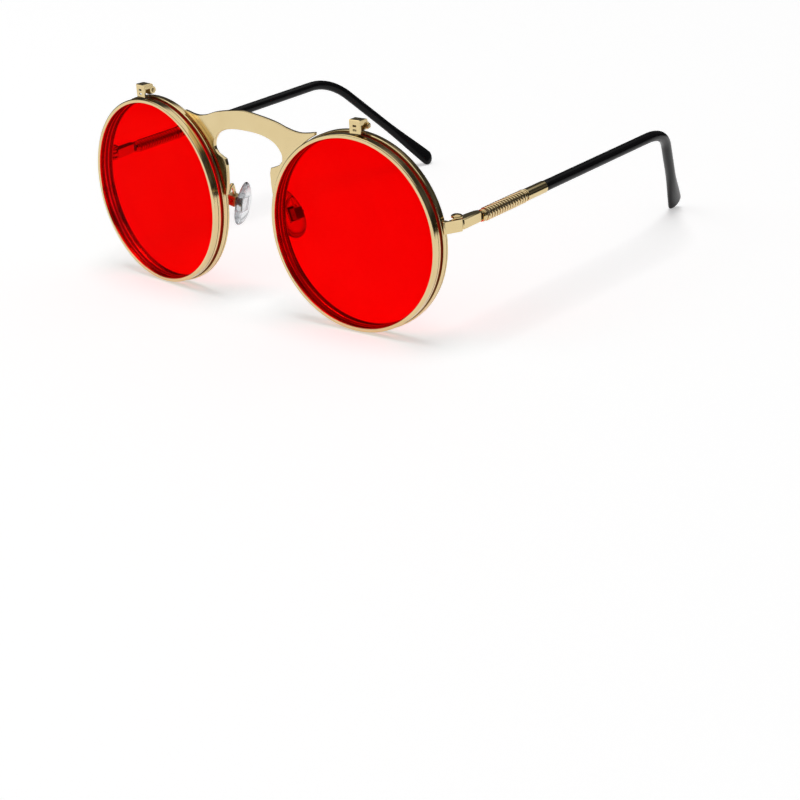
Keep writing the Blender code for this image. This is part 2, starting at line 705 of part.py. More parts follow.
def build_temple_block(side, temple):
    """The temple's front block, with the middle knuckle that turns on the hinge screw."""
    lean = Matrix.Rotation(-side.lean, 4, "X")
    pitch = Matrix.Rotation(TEMPLE_PITCH, 4, "X")
    front = END_SEAM_BACK + FIT_GAP
    rear = BLOCK_LENGTH
    waist = rear - BLOCK_REAR_CHAMFER
    half_rear = BLOCK_REAR_WIDTH / 2
    end_half = half_rear - BLOCK_REAR_CHAMFER / 2
    outline = [
        (-BLOCK_IN, front),
        (BLOCK_FACE_OUT, front),
        (TEMPLE_OUT + half_rear, waist),
        (TEMPLE_OUT + end_half, rear),
        (TEMPLE_OUT - end_half, rear),
        (TEMPLE_OUT - half_rear, waist),
    ]
    body = moved(bevelled(plate(outline, BLOCK_HEIGHT), BLOCK_BEVEL), pitch)
    half = KNUCKLE_HEIGHT / 2
    clear = END_HEIGHT
    above = rod(BARREL_RADIUS + FIT_GAP, half, half + clear, SCREW_STEPS)
    below = rod(BARREL_RADIUS + FIT_GAP, -half - clear, -half, SCREW_STEPS)
    body = cut(body, moved(above, lean), moved(below, lean))
    knuckle = moved(rod(KNUCKLE_RADIUS, -half, half, SCREW_STEPS), lean)
    neck = moved(block((-KNUCKLE_RADIUS, 0, -half), (KNUCKLE_RADIUS, front + BARREL_RADIUS, half)), lean)
    hole = moved(rod(SCREW_HOLE_RADIUS, -half - CUT_OVERRUN, half + CUT_OVERRUN, SCREW_STEPS), lean)
    shape = cut(joined(body, neck, knuckle), hole)
    add_part(f"temple_block_{side.name}", shape, "pale_gold", temple)


def temple_places():
    """Where each piece along the temple starts and ends, from the hinge axis backward."""
    collar = BLOCK_LENGTH + FIT_GAP
    coil = collar + COLLAR_LENGTH + FIT_GAP
    coil_end = coil + COIL_TURNS * COIL_PITCH + 2 * COIL_WIRE
    ferrule = coil_end + FIT_GAP
    ferrule_end = ferrule + FERRULE_LENGTH
    return collar, coil, coil_end, ferrule, ferrule_end


def build_temple_turned_parts(side, temple):
    """The collar, the core wire and the ferrule, all turned about the temple's line."""
    collar, _, _, ferrule, ferrule_end = temple_places()
    collar_end = collar + COLLAR_LENGTH
    waist = COLLAR_RADIUS - COLLAR_GROOVE
    collar_profile = [
        (CORE_BORE_RADIUS, collar_end),
        (COLLAR_RADIUS, collar_end),
        (COLLAR_RADIUS, collar_end - COLLAR_BEAD),
        (waist, collar_end - COLLAR_BEAD - COLLAR_GROOVE),
        (COLLAR_RADIUS, collar_end - COLLAR_BEAD - 2 * COLLAR_GROOVE),
        (COLLAR_RADIUS, collar_end - 2 * COLLAR_BEAD - 2 * COLLAR_GROOVE),
        (waist, collar),
        (CORE_BORE_RADIUS, collar),
    ]
    add_part(
        f"temple_collar_{side.name}",
        turned(collar_profile, TURNED_STEPS, ring=True),
        "pale_gold",
        temple,
        TEMPLE_PLACE,
    )
    core_end = ferrule + CORE_END_IN_FERRULE
    core = rod(CORE_RADIUS, collar, core_end, TURNED_STEPS)
    add_part(f"temple_core_{side.name}", core, "spring_steel", temple, TEMPLE_PLACE)
    ferrule_profile = [
        (CORE_BORE_RADIUS, ferrule_end),
        (FERRULE_RADIUS - FERRULE_CHAMFER, ferrule_end),
        (FERRULE_RADIUS, ferrule_end - FERRULE_CHAMFER),
        (FERRULE_RADIUS, ferrule + FERRULE_CHAMFER),
        (FERRULE_RADIUS - FERRULE_CHAMFER, ferrule),
        (CORE_BORE_RADIUS, ferrule),
    ]
    add_part(
        f"ferrule_{side.name}",
        turned(ferrule_profile, TURNED_STEPS, ring=True),
        "pale_gold",
        temple,
        TEMPLE_PLACE,
    )


def coil_points():
    """The temple spring's line: a straight end, the turns, and a straight end."""
    _, start, end, _, _ = temple_places()
    radius = COIL_RADIUS - COIL_WIRE / 2
    first_turn = start + COIL_WIRE
    count = COIL_TURNS * COIL_POINTS_PER_TURN
    points = [Vector((radius, 0, start))]
    for i in range(count + 1):
        angle = FULL_TURN * i / COIL_POINTS_PER_TURN
        height = first_turn + COIL_PITCH * i / COIL_POINTS_PER_TURN
        points.append(Vector((radius * math.cos(angle), radius * math.sin(angle), height)))
    points.append(Vector((radius, 0, end)))
    return points


def least_gap(points, wire, apart):
    """The narrowest gap of a wire to itself, between points that many steps apart or more."""
    nearest = min(
        (a - b).length for i, a in enumerate(points) for b in points[i + apart :]
    )
    return nearest - wire


def build_coil(side, temple):
    """The spring wound round the temple's core wire."""
    points = coil_points()
    gap = least_gap(points, COIL_WIRE, COIL_POINTS_PER_TURN // 2)
    print(f"coil spring {side.name}: least gap to itself {gap / MM:.3f} mm, more than {COIL_LEAST_GAP / MM:.1f}")
    add_part(f"coil_spring_{side.name}", tube(points, COIL_WIRE / 2, 1), "spring_gold", temple, TEMPLE_PLACE)


def sleeve_line(tip_run):
    """Stations of the sleeve: place, direction, the bend plane's normal and distance to the tip."""
    straight = Vector((0, math.cos(TEMPLE_PITCH), math.sin(TEMPLE_PITCH)))
    down = Vector((0, math.sin(TEMPLE_PITCH), -math.cos(TEMPLE_PITCH)))
    inward = Vector((-1, 0, 0))
    drop = down * math.cos(BEND_INWARD) + inward * math.sin(BEND_INWARD)
    flat = straight.cross(drop)
    start = temple_places()[-1] + FIT_GAP
    origin = TEMPLE_ORIGIN
    total_after = BEND_RADIUS * BEND_ANGLE + tip_run
    stations = []
    for i in range(SLEEVE_STRAIGHT_STEPS):
        along = start + (TEMPLE_STRAIGHT - start) * i / SLEEVE_STRAIGHT_STEPS
        left = TEMPLE_STRAIGHT - along + total_after
        stations.append((origin + straight * along, straight, flat, left))
    bend_start = origin + straight * TEMPLE_STRAIGHT
    for i in range(SLEEVE_BEND_STEPS):
        turn = BEND_ANGLE * i / SLEEVE_BEND_STEPS
        place = bend_start + (straight * math.sin(turn) + drop * (1 - math.cos(turn))) * BEND_RADIUS
        heading = straight * math.cos(turn) + drop * math.sin(turn)
        stations.append((place, heading, flat, total_after - BEND_RADIUS * turn))
    bend_end = bend_start + (straight * math.sin(BEND_ANGLE) + drop * (1 - math.cos(BEND_ANGLE))) * BEND_RADIUS
    heading = straight * math.cos(BEND_ANGLE) + drop * math.sin(BEND_ANGLE)
    whole = tip_run - PADDLE_END_ROUNDING
    for i in range(SLEEVE_TIP_STEPS + 1):
        along = whole * i / SLEEVE_TIP_STEPS
        stations.append((bend_end + heading * along, heading, flat, tip_run - along))
    return stations


def sleeve_section(place, heading, flat, half_width, half_thickness):
    """A ring of points: wide in the bend plane and thin across it."""
    wide = flat.cross(heading)
    ring = []
    for i in range(SLEEVE_SIDES):
        angle = FULL_TURN * i / SLEEVE_SIDES
        ring.append(
            place + wide * (half_width * math.cos(angle)) + flat * (half_thickness * math.sin(angle))
        )
    return ring


def paddle_share(left):
    """How far the round section has turned into the flat paddle, that far from the tip."""
    share = min(max(1 - left / PADDLE_LENGTH, 0), 1)
    return share * share * (3 - 2 * share)


def sleeve_sections(tip_run):
    """Every ring of the sleeve, from its spigot in the ferrule to its rounded tip."""
    stations = sleeve_line(tip_run)
    place, heading, flat, _ = stations[0]
    spigot = FERRULE_LENGTH - CORE_END_IN_FERRULE - SPIGOT_GAP + FIT_GAP
    sections = [
        sleeve_section(place - heading * spigot, heading, flat, SPIGOT_RADIUS, SPIGOT_RADIUS),
        sleeve_section(place, heading, flat, SPIGOT_RADIUS, SPIGOT_RADIUS),
    ]
    for place, heading, flat, left in stations:
        share = paddle_share(left)
        half_width = SLEEVE_RADIUS + (PADDLE_HALF_WIDTH - SLEEVE_RADIUS) * share
        half_thickness = SLEEVE_RADIUS + (PADDLE_HALF_THICKNESS - SLEEVE_RADIUS) * share
        sections.append(sleeve_section(place, heading, flat, half_width, half_thickness))
    for along in SLEEVE_END_SHARES:
        size = math.sqrt(1 - (along * along) * (1 - SLEEVE_SIDES**-2))
        centre = place + heading * (PADDLE_END_ROUNDING * along)
        sections.append(
            sleeve_section(centre, heading, flat, half_width * size, half_thickness * size)
        )
    return sections


def tip_run_to_floor():
    """The straight length past the bend that brings the tip down level with the rims."""
    trial = PADDLE_LENGTH + PADDLE_END_ROUNDING
    lowest = min(point.z for ring in sleeve_sections(trial) for point in ring)
    heading = sleeve_line(trial)[-1][1]
    floor = -REAR_RIM_RADIUS - HINGE_RISE
    return trial + (lowest - floor) / -heading.z


def build_sleeve(side, temple):
    """The black sleeve, bent down and inward behind the ear, with a flattened tip."""
    sections = sleeve_sections(tip_run_to_floor())
    add_part(f"temple_sleeve_{side.name}", lofted(sections), "black_sleeve", temple)


def pad_matrix():
    """The pad's place in the front: its Y faces the nose and its Z runs up the pad."""
    upward = Vector((-math.sin(PAD_LEAN), 0, math.cos(PAD_LEAN)))
    nose = Vector((-math.cos(PAD_SPLAY), math.sin(PAD_SPLAY), 0))
    nose = (nose - upward * nose.dot(upward)).normalized()
    across = nose.cross(upward)
    turn = Matrix((across, nose, upward)).transposed().to_4x4()
    return Matrix.Translation(Vector((PAD_OUT, PAD_BACK, PAD_RISE))) @ turn


def pad_box_span():
    """Where the pad box starts and ends in front of the pad's middle."""
    back = -PAD_HALF_THICKNESS - PAD_BOX_GAP
    return back - PAD_BOX_DEPTH, back


def pad_axis_place():
    """The pad screw, on which the pad rocks, lies in the middle of its box."""
    low, high = pad_box_span()
    return Matrix.Translation(Vector((0, (low + high) / 2, 0)))


def build_nose_pad(side, pad):
    """The clear teardrop pad, with a pocket in its front face for the metal core."""
    shape = bmesh.new()
    bmesh.ops.create_uvsphere(shape, u_segments=PAD_SEGMENTS, v_segments=PAD_RINGS, radius=1)
    for vert in shape.verts:
        width = PAD_HALF_WIDTH * (1 - PAD_TAPER_SHARE * vert.co.z)
        vert.co = (vert.co.x * width, vert.co.y * PAD_HALF_THICKNESS, vert.co.z * PAD_HALF_LENGTH)
    mesh = bpy.data.meshes.new("pad")
    shape.to_mesh(mesh)
    shape.free()
    pocket = block(
        (-PAD_POCKET_HALF_WIDTH, -PAD_HALF_THICKNESS - CUT_OVERRUN, -PAD_POCKET_HALF_LENGTH),
        (PAD_POCKET_HALF_WIDTH, PAD_POCKET_FLOOR, PAD_POCKET_HALF_LENGTH),
    )
    mesh = cut(mesh, pocket)
    add_part(f"nose_pad_{side.name}", mesh, "clear_silicone", pad, pad_axis_place().inverted())


def build_pad_core(side, pad):
    """The metal core: a plate inside the pad and a stem that the screw passes through."""
    back = PAD_POCKET_FLOOR - FIT_GAP
    front = back - PAD_CORE_SHEET
    half_width = PAD_POCKET_HALF_WIDTH - FIT_GAP
    half_length = PAD_POCKET_HALF_LENGTH - FIT_GAP
    axis = pad_axis_place().to_translation().y
    stem_end = axis - PAD_SCREW_HOLE_RADIUS - FIT_GAP
    sheet = block((-half_width, front, -half_length), (half_width, back, half_length))
    stem = block(
        (-PAD_STEM_HALF_WIDTH, stem_end, -PAD_STEM_HALF_LENGTH),
        (PAD_STEM_HALF_WIDTH, back - PAD_CORE_SHEET / 2, PAD_STEM_HALF_LENGTH),
    )
    reach = PAD_STEM_HALF_WIDTH + CUT_OVERRUN
    hole = moved(rod(PAD_SCREW_HOLE_RADIUS, -reach, reach, PAD_SCREW_STEPS), FACE_OUTWARD)
    shape = cut(joined(sheet, stem), moved(hole, pad_axis_place()))
    add_part(f"pad_core_{side.name}", shape, "pale_gold", pad, pad_axis_place().inverted())


def build_pad_box(side, carrier):
    """The gold box that takes the pad's stem, open towards the pad."""
    low, high = pad_box_span()
    inner_half_width = PAD_STEM_HALF_WIDTH + FIT_GAP
    inner_half_length = PAD_STEM_HALF_LENGTH + FIT_GAP
    half_width = inner_half_width + PAD_BOX_WALL
    half_length = inner_half_length + PAD_BOX_WALL
    body = block((-half_width, low, -half_length), (half_width, high, half_length))
    axis = pad_axis_place().to_translation().y
    floor = axis - PAD_SCREW_HOLE_RADIUS - 2 * FIT_GAP
    pocket = block(
        (-inner_half_width, floor, -inner_half_length),
        (inner_half_width, high + CUT_OVERRUN, inner_half_length),
    )
    reach = half_width + CUT_OVERRUN
    hole = moved(rod(PAD_SCREW_HOLE_RADIUS, -reach, reach, PAD_SCREW_STEPS), FACE_OUTWARD)
    shape = cut(body, pocket, moved(hole, pad_axis_place()))
    add_part(f"pad_box_{side.name}", shape, "pale_gold", carrier)


def build_pad_screw(side, carrier):
    """The screw across the pad box."""
    half_box = PAD_STEM_HALF_WIDTH + FIT_GAP + PAD_BOX_WALL
    head_low = half_box + FIT_GAP
    profile = [
        (0, head_low + PAD_SCREW_HEAD_HEIGHT),
        (PAD_SCREW_HEAD_RADIUS, head_low + PAD_SCREW_HEAD_HEIGHT),
        (PAD_SCREW_HEAD_RADIUS, head_low),
        (PAD_SCREW_RADIUS, head_low),
        (PAD_SCREW_RADIUS, -half_box),
        (0, -half_box),
    ]
    screw = moved(turned(profile, PAD_SCREW_STEPS), FACE_OUTWARD)
    add_part(f"pad_screw_{side.name}", screw, "screw_gold", carrier, pad_axis_place())


def build_pad_arm(side, front):
    """The wire that carries the pad box: from the fixed rim, up and back in a small loop."""
    matrix = pad_matrix()
    low, high = pad_box_span()
    half_length = PAD_STEM_HALF_LENGTH + FIT_GAP + PAD_BOX_WALL
    box_top = matrix @ Vector((0, (low + high) / 2, half_length + FIT_GAP))
    above_box = matrix @ Vector((0, (low + high) / 2, half_length + FIT_GAP + ARM_RADIUS))
    foot_radius = REAR_RIM_RADIUS - ARM_FOOT_IN - ARM_RADIUS
    foot_u = LENS_CENTRE_OUT - math.sqrt(foot_radius**2 - ARM_FOOT_RISE**2)
    foot = Vector((foot_u, REAR_RIM_DEPTH + FIT_GAP, ARM_FOOT_RISE))
    behind = foot + Vector((0, ARM_RADIUS, 0))
    loop = foot + Vector((0, ARM_LOOP_BACK, ARM_LOOP_RISE))
    loop.x = (foot.x + above_box.x) / 2
    points = [foot, *smooth_run([behind, loop, above_box], ARM_CURVE_STEPS), box_top]
    add_part(f"pad_arm_{side.name}", tube(points, ARM_RADIUS, 2), "pale_gold", front)


def build_side(side, root):
    """One half of the glasses, under an empty that mirrors it where it is the right one."""
    half = make_empty(f"{side.name}_half", root, scale=(side.sign, 1, 1))
    front = make_empty(f"{side.name}_front", half, rotation=(0, 0, FACE_WRAP))
    flip = make_empty(f"{side.name}_flip_axis", front, location=FLIP_AXIS)
    hinge = make_empty(f"{side.name}_hinge", half, location=HINGE_POINT)
    temple = make_empty(f"{side.name}_temple_axis", half, location=HINGE_POINT)
    pad_carrier = make_empty(f"{side.name}_pad_place", front)
    pad_carrier.matrix_local = pad_matrix()
    pad = make_empty(f"{side.name}_pad_axis", pad_carrier)
    pad.matrix_local = pad_axis_place()
    build_rims(side, front, flip)
    build_flip_base(side, front)
    build_flip_hood(side, flip)
    build_flip_spring(side, flip)
    build_flip_pin(side, flip)
    build_end_piece(side, hinge)
    build_hinge_screw(side, hinge)
    build_temple_block(side, temple)
    build_temple_turned_parts(side, temple)
    build_coil(side, temple)
    build_sleeve(side, temple)
    build_pad_arm(side, front)
    build_pad_box(side, pad_carrier)
    build_pad_screw(side, pad_carrier)
    build_nose_pad(side, pad)
    build_pad_core(side, pad)


def stand_on_floor(root, parts):
    """Moves the whole so that its box stands on Z = 0, centred on the origin."""
    bpy.context.view_layer.update()
    points = [obj.matrix_world @ vert.co for obj in parts.objects for vert in obj.data.vertices]
    low = Vector([min(point[i] for point in points) for i in range(3)])
    high = Vector([max(point[i] for point in points) for i in range(3)])
    middle = (low + high) / 2
    root.location = (-middle.x, -middle.y, -low.z)
    bpy.context.view_layer.update()


def report_axes():
    """Prints where the moving joints lie, in world coordinates."""
    for side in SIDES:
        lean = Matrix.Rotation(-side.lean, 3, "X")
        for name, axis in (
            ("flip_axis", Vector((1, 0, 0))),
            ("temple_axis", lean @ Vector((0, 0, 1))),
            ("pad_axis", Vector((1, 0, 0))),
        ):
            matrix = bpy.data.objects[f"{side.name}_{name}"].matrix_world
            direction = (matrix.to_3x3() @ axis).normalized()
            place = ", ".join(f"{value:.6f}" for value in matrix.to_translation())
            print(f"{side.name} {name}: at ({place}) along", [round(value, 6) for value in direction])


def main():
    clear_scene()
    parts = make_collection("glasses")
    for name in FINISHES:
        make_material(name)
    root = make_empty("glasses_root", None)
    build_bridge(root)
    for side in SIDES:
        build_side(side, root)
    stand_on_floor(root, parts)
    report_axes()


main()
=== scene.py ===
"""The looks of a pair of round flip-up glasses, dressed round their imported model.

Every length is in metres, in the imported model's own frame: +Z is up, the wearer looks
along -Y and has their left side at +X. Each piece is modelled for the left half, in the
frame of the part that carries it, and mirrored for the right half. The places of those
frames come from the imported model's joints and boxes.
"""

from __future__ import annotations

import json
import logging
import math
from collections.abc import Callable, Sequence
from dataclasses import dataclass
from enum import Enum
from typing import TypeAlias

import bpy
from mathutils import Matrix, Vector

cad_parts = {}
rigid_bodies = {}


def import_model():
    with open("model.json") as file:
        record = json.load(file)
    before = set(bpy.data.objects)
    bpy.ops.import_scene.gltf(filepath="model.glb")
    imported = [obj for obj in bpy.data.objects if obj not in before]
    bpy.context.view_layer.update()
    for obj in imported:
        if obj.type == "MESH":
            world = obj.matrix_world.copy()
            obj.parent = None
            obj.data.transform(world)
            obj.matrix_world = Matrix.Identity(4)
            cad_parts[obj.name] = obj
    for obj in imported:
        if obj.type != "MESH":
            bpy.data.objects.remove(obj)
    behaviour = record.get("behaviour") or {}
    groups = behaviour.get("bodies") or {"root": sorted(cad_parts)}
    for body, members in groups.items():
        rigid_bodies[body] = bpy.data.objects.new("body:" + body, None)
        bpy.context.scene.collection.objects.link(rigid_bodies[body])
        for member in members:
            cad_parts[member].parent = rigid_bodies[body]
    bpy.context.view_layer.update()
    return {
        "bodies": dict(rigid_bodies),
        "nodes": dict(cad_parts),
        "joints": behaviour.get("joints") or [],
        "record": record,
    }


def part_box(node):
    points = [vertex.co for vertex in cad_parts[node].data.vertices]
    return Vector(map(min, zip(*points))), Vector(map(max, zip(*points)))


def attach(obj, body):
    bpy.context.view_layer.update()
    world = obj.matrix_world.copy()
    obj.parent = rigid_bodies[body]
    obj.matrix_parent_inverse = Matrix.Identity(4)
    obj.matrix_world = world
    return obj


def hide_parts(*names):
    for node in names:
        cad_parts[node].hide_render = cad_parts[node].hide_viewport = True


LOG = logging.getLogger("glasses")

MM = 0.001
WELD = 0.0005 * MM
OVERRUN = 1.0 * MM
GAP = 0.25 * MM
RIM_RADIUS = 26.4 * MM
RIM_DEPTH = 1.9 * MM
QUARTER = math.radians(90)
FULL = math.radians(360)
SAME_FACE = math.radians(1)
PAD_LEAN = math.radians(18)
BORDER = "border"

FACE_FORWARD = Matrix.Rotation(QUARTER, 4, "X")
FACE_OUTWARD = Matrix.Rotation(QUARTER, 4, "Y")
OTHER_HALF = Matrix.Scale(-1, 4, Vector((1, 0, 0)))

Span: TypeAlias = tuple[float, float]
Profile: TypeAlias = Sequence[Span]
Colour: TypeAlias = tuple[float, float, float, float]
Operand: TypeAlias = "Signal | float"
FaceTest: TypeAlias = Callable[[bpy.types.MeshPolygon], bool]


class Slot(Enum):
    """The record's material slots."""

    PALE_GOLD = "pale_gold"
    SCREW_GOLD = "screw_gold"
    SPRING_GOLD = "spring_gold"
    SPRING_STEEL = "spring_steel"
    RED_LENS = "red_lens"
    BLACK_SLEEVE = "black_sleeve"
    CLEAR_SILICONE = "clear_silicone"


class Side(Enum):
    """One half of the glasses, as the wearer has it."""

    LEFT = "left"
    RIGHT = "right"

    @property
    def other(self) -> bool:
        """True for the half that is mirrored."""
        return self is Side.RIGHT


# Shader building


class Signal:
    """A shader socket on which Python's operators add Math nodes."""

    def __init__(self, tree: ShaderTree, socket: bpy.types.NodeSocket) -> None:
        """Keeps the socket and the tree that it belongs to."""
        self.tree = tree
        self.socket = socket

    def _maths(self, operation: str, first: Operand, second: Operand) -> Signal:
        """Adds one Math node on two values or signals."""
        return self.tree.add("ShaderNodeMath", {"operation": operation}, {0: first, 1: second})

    def __add__(self, other: Operand) -> Signal:
        """self + other."""
        return self._maths("ADD", self, other)

    def __radd__(self, other: Operand) -> Signal:
        """other + self."""
        return self._maths("ADD", other, self)

    def __rsub__(self, other: Operand) -> Signal:
        """other - self."""
        return self._maths("SUBTRACT", other, self)

    def __mul__(self, other: Operand) -> Signal:
        """self * other."""
        return self._maths("MULTIPLY", self, other)

    def __rmul__(self, other: Operand) -> Signal:
        """other * self."""
        return self._maths("MULTIPLY", other, self)

    def highest(self, other: Operand) -> Signal:
        """The larger of self and other."""
        return self._maths("MAXIMUM", self, other)


class ShaderTree:
    """The node tree of one material or of the world."""

    def __init__(self, owner: bpy.types.Material | bpy.types.World) -> None:
        """Empties the owner's node tree.

        Args:
            owner: What the tree shades.
        """
        owner.use_nodes = True
        self.nodes = owner.node_tree.nodes
        self.links = owner.node_tree.links
        self.nodes.clear()

    def add(
        self,
        kind: str,
        settings: dict[str, object] | None = None,
        inputs: dict[str | int, object] | None = None,
        output: str | int = 0,
    ) -> Signal:
        """Adds a node, sets it up and feeds its sockets.

        Args:
            kind: The node's type.
            settings: The node's own properties. "stops" are a colour ramp's (place, colour) pairs.
            inputs: Values or signals by socket name or index.
            output: The socket to hand back.

        Returns:
            The chosen output.
        """
        node = self.nodes.new(kind)
        for name, value in (settings or {}).items():
            if name == "stops":
                self._set_stops(node.color_ramp, value)
            else:
                setattr(node, name, value)
        for key, value in (inputs or {}).items():
            if isinstance(value, Signal):
                self.links.new(value.socket, node.inputs[key])
            else:
                node.inputs[key].default_value = value
        return Signal(self, node.outputs[output]) if node.outputs else Signal(self, None)

    @staticmethod
    def _set_stops(ramp: bpy.types.ColorRamp, stops: Sequence[tuple[float, Colour]]) -> None:
        """Gives a colour ramp its stops.

        Args:
            ramp: The ramp to set.
            stops: Its (place, colour) pairs.
        """
        while len(ramp.elements) < len(stops):
            ramp.elements.new(1.0)
        for element, (place, colour) in zip(ramp.elements, stops):
            element.position = place
            element.color = colour

    def place(self) -> Signal:
        """The point being shaded, in the piece's own coordinates, which are the frame's."""
        return self.add("ShaderNodeTexCoord", output="Object")

    def attribute(self, name: str) -> Signal:
        """A number that the mesh carries at each of its points."""
        return self.add("ShaderNodeAttribute", {"attribute_name": name}, output="Fac")

    def ray(self, kind: str) -> Signal:
        """1 for a ray of that kind, such as Camera or Glossy, and 0 for any other."""
        return self.add("ShaderNodeLightPath", output=f"Is {kind} Ray")

    def noise(
        self, vector: Signal, size: float, detail: float = 3.0, roughness: float = 0.5
    ) -> Signal:
        """Cloudy noise whose blobs are about that size.

        Args:
            vector: Where the noise is read.
            size: The width of a blob, in metres.
            detail: How many finer layers it has.
            roughness: How strong the finer layers are.

        Returns:
            A value from 0 to 1.
        """
        return self.add(
            "ShaderNodeTexNoise",
            {"noise_dimensions": "3D"},
            {"Vector": vector, "Scale": 1 / size, "Detail": detail, "Roughness": roughness},
        )

    def stretched(self, vector: Signal, shares: tuple[float, float, float]) -> Signal:
        """The coordinates scaled along each axis. A small share draws a pattern out."""
        return self.add("ShaderNodeMapping", {}, {"Vector": vector, "Scale": shares})

    def mixed_colour(
        self, share: Operand, first: Signal | Colour, second: Signal | Colour
    ) -> Signal:
        """A colour between two, by a share from 0 to 1."""
        return self.add(
            "ShaderNodeMix", {"data_type": "RGBA"}, {"Factor": share, 6: first, 7: second}, output=2
        )

    def ramped(self, value: Signal, span: Span, levels: Span = (0.0, 1.0)) -> Signal:
        """A value taken smoothly from one level to another over a span.

        Args:
            value: What is mapped.
            span: Where the change starts and ends.
            levels: The result before and after it.

        Returns:
            The mapped value.
        """
        return self.add(
            "ShaderNodeMapRange",
            {"interpolation_type": "SMOOTHSTEP"},
            {"Value": value, 1: span[0], 2: span[1], 3: levels[0], 4: levels[1]},
        )

    def bump(self, height: Signal, depth: float, strength: float) -> Signal:
        """A normal that leans with a height, whose full range is that deep."""
        return self.add(
            "ShaderNodeBump", {}, {"Height": height, "Distance": depth, "Strength": strength}
        )

    def lit_through(self, solid: Signal, tint: Colour) -> Signal:
        """The solid shader to the eye, and a clear tint to the lamps' shadow rays."""
        clear = self.add("ShaderNodeBsdfTransparent", {}, {"Color": tint})
        return self.add("ShaderNodeMixShader", {}, {0: self.ray("Shadow"), 1: solid, 2: clear})

    def finish(self, surface: Signal) -> None:
        """Joins a shader to the material's output."""
        self.add("ShaderNodeOutputMaterial", {}, {"Surface": surface})


def rgba(red: float, green: float, blue: float) -> Colour:
    """A solid colour."""
    return (red, green, blue, 1.0)


@dataclass(frozen=True)
class Finish:
    """What every finish has: a name, the record's slot and a way to make its material."""

    name: str
    slot: Slot

    def material(self) -> bpy.types.Material:
        """The finish's material, made at its first use.

        Returns:
            The material.
        """
        made = bpy.data.materials.get(self.name)
        if made is None:
            made = bpy.data.materials.new(self.name)
            self.shade(ShaderTree(made))
        return made

    def shade(self, tree: ShaderTree) -> None:
        """Builds the finish's nodes."""
        raise NotImplementedError


@dataclass(frozen=True)
class PlatedMetal(Finish):
    """Polished plating with hairline wipe marks and a faint cloudiness."""

    colour: Colour
    cloud_colour: Colour
    roughness: float
    hairline_roughness: float = 0.07
    cloud_size: float = 6.0 * MM
    cloud_detail: float = 4.0
    hairline_size: float = 0.12 * MM
    hairline_stretch: tuple[float, float, float] = (1.0, 0.12, 0.35)
    hairline_detail: float = 2.0
    hairline_grit: float = 0.6
    bump_depth: float = 0.004 * MM
    bump_strength: float = 0.3

    def shade(self, tree: ShaderTree) -> None:
        """Metal whose colour drifts a little and whose gloss is crossed by fine marks.

        Args:
            tree: The material's empty tree.
        """
        place = tree.place()
        clouds = tree.noise(place, self.cloud_size, self.cloud_detail)
        marks = tree.noise(
            tree.stretched(place, self.hairline_stretch),
            self.hairline_size,
            self.hairline_detail,
            self.hairline_grit,
        )
        shader = tree.add(
            "ShaderNodeBsdfPrincipled",
            {},
            {
                "Base Color": tree.mixed_colour(clouds, self.colour, self.cloud_colour),
                "Metallic": 1.0,
                "Roughness": self.roughness + self.hairline_roughness * marks,
                "Normal": tree.bump(marks, self.bump_depth, self.bump_strength),
            },
        )
        tree.finish(shader)


@dataclass(frozen=True)
class TintedLens(Finish):
    """Clear red plastic: what lies behind shows through, and lamps reach the floor through it."""

    colour: Colour
    shade_colour: Colour
    # Painted shade: the lens darkens towards its border, for the rim's shade seen through it.
    border_shade_colour: Colour
    lamp_colour: Colour = rgba(0.93, 0.7, 0.68)
    border_span: Span = (0.984, 0.994)
    refraction: float = 1.04
    polish: float = 0.01
    smear: float = 0.03
    smear_size: float = 14.0 * MM

    def shade(self, tree: ShaderTree) -> None:
        """Smooth tinted glass, with a faint smear in its polish.

        Args:
            tree: The material's empty tree.
        """
        place = tree.place()
        smears = tree.noise(place, self.smear_size)
        # Painted shade towards the lens's border.
        border = tree.ramped(tree.attribute(BORDER), self.border_span)
        tint = tree.mixed_colour(smears, self.colour, self.shade_colour)
        solid = tree.add(
            "ShaderNodeBsdfPrincipled",
            {},
            {
                "Base Color": tree.mixed_colour(border, tint, self.border_shade_colour),
                "Roughness": self.polish + self.smear * smears * smears,
                "IOR": self.refraction,
                "Transmission Weight": 1.0,
            },
        )
        tree.finish(tree.lit_through(solid, self.lamp_colour))


@dataclass(frozen=True)
class SatinPlastic(Finish):
    """Dense black plastic with a soft sheen and a very fine grain."""

    colour: Colour
    worn_colour: Colour
    roughness: float = 0.2
    wear_roughness: float = 0.1
    wear_size: float = 9.0 * MM
    wear_detail: float = 4.0
    grain_size: float = 0.18 * MM
    grain_detail: float = 2.0
    grain_depth: float = 0.006 * MM
    grain_strength: float = 0.4
    gloss_level: float = 0.15

    def shade(self, tree: ShaderTree) -> None:
        """Almost black, with patches that handling has dulled.

        Args:
            tree: The material's empty tree.
        """
        place = tree.place()
        wear = tree.noise(place, self.wear_size, self.wear_detail)
        grain = tree.noise(place, self.grain_size, self.grain_detail)
        shader = tree.add(
            "ShaderNodeBsdfPrincipled",
            {},
            {
                "Base Color": tree.mixed_colour(wear, self.colour, self.worn_colour),
                "Roughness": self.roughness + self.wear_roughness * wear,
                "Specular IOR Level": self.gloss_level,
                "Normal": tree.bump(grain, self.grain_depth, self.grain_strength),
            },
        )
        tree.finish(shader)


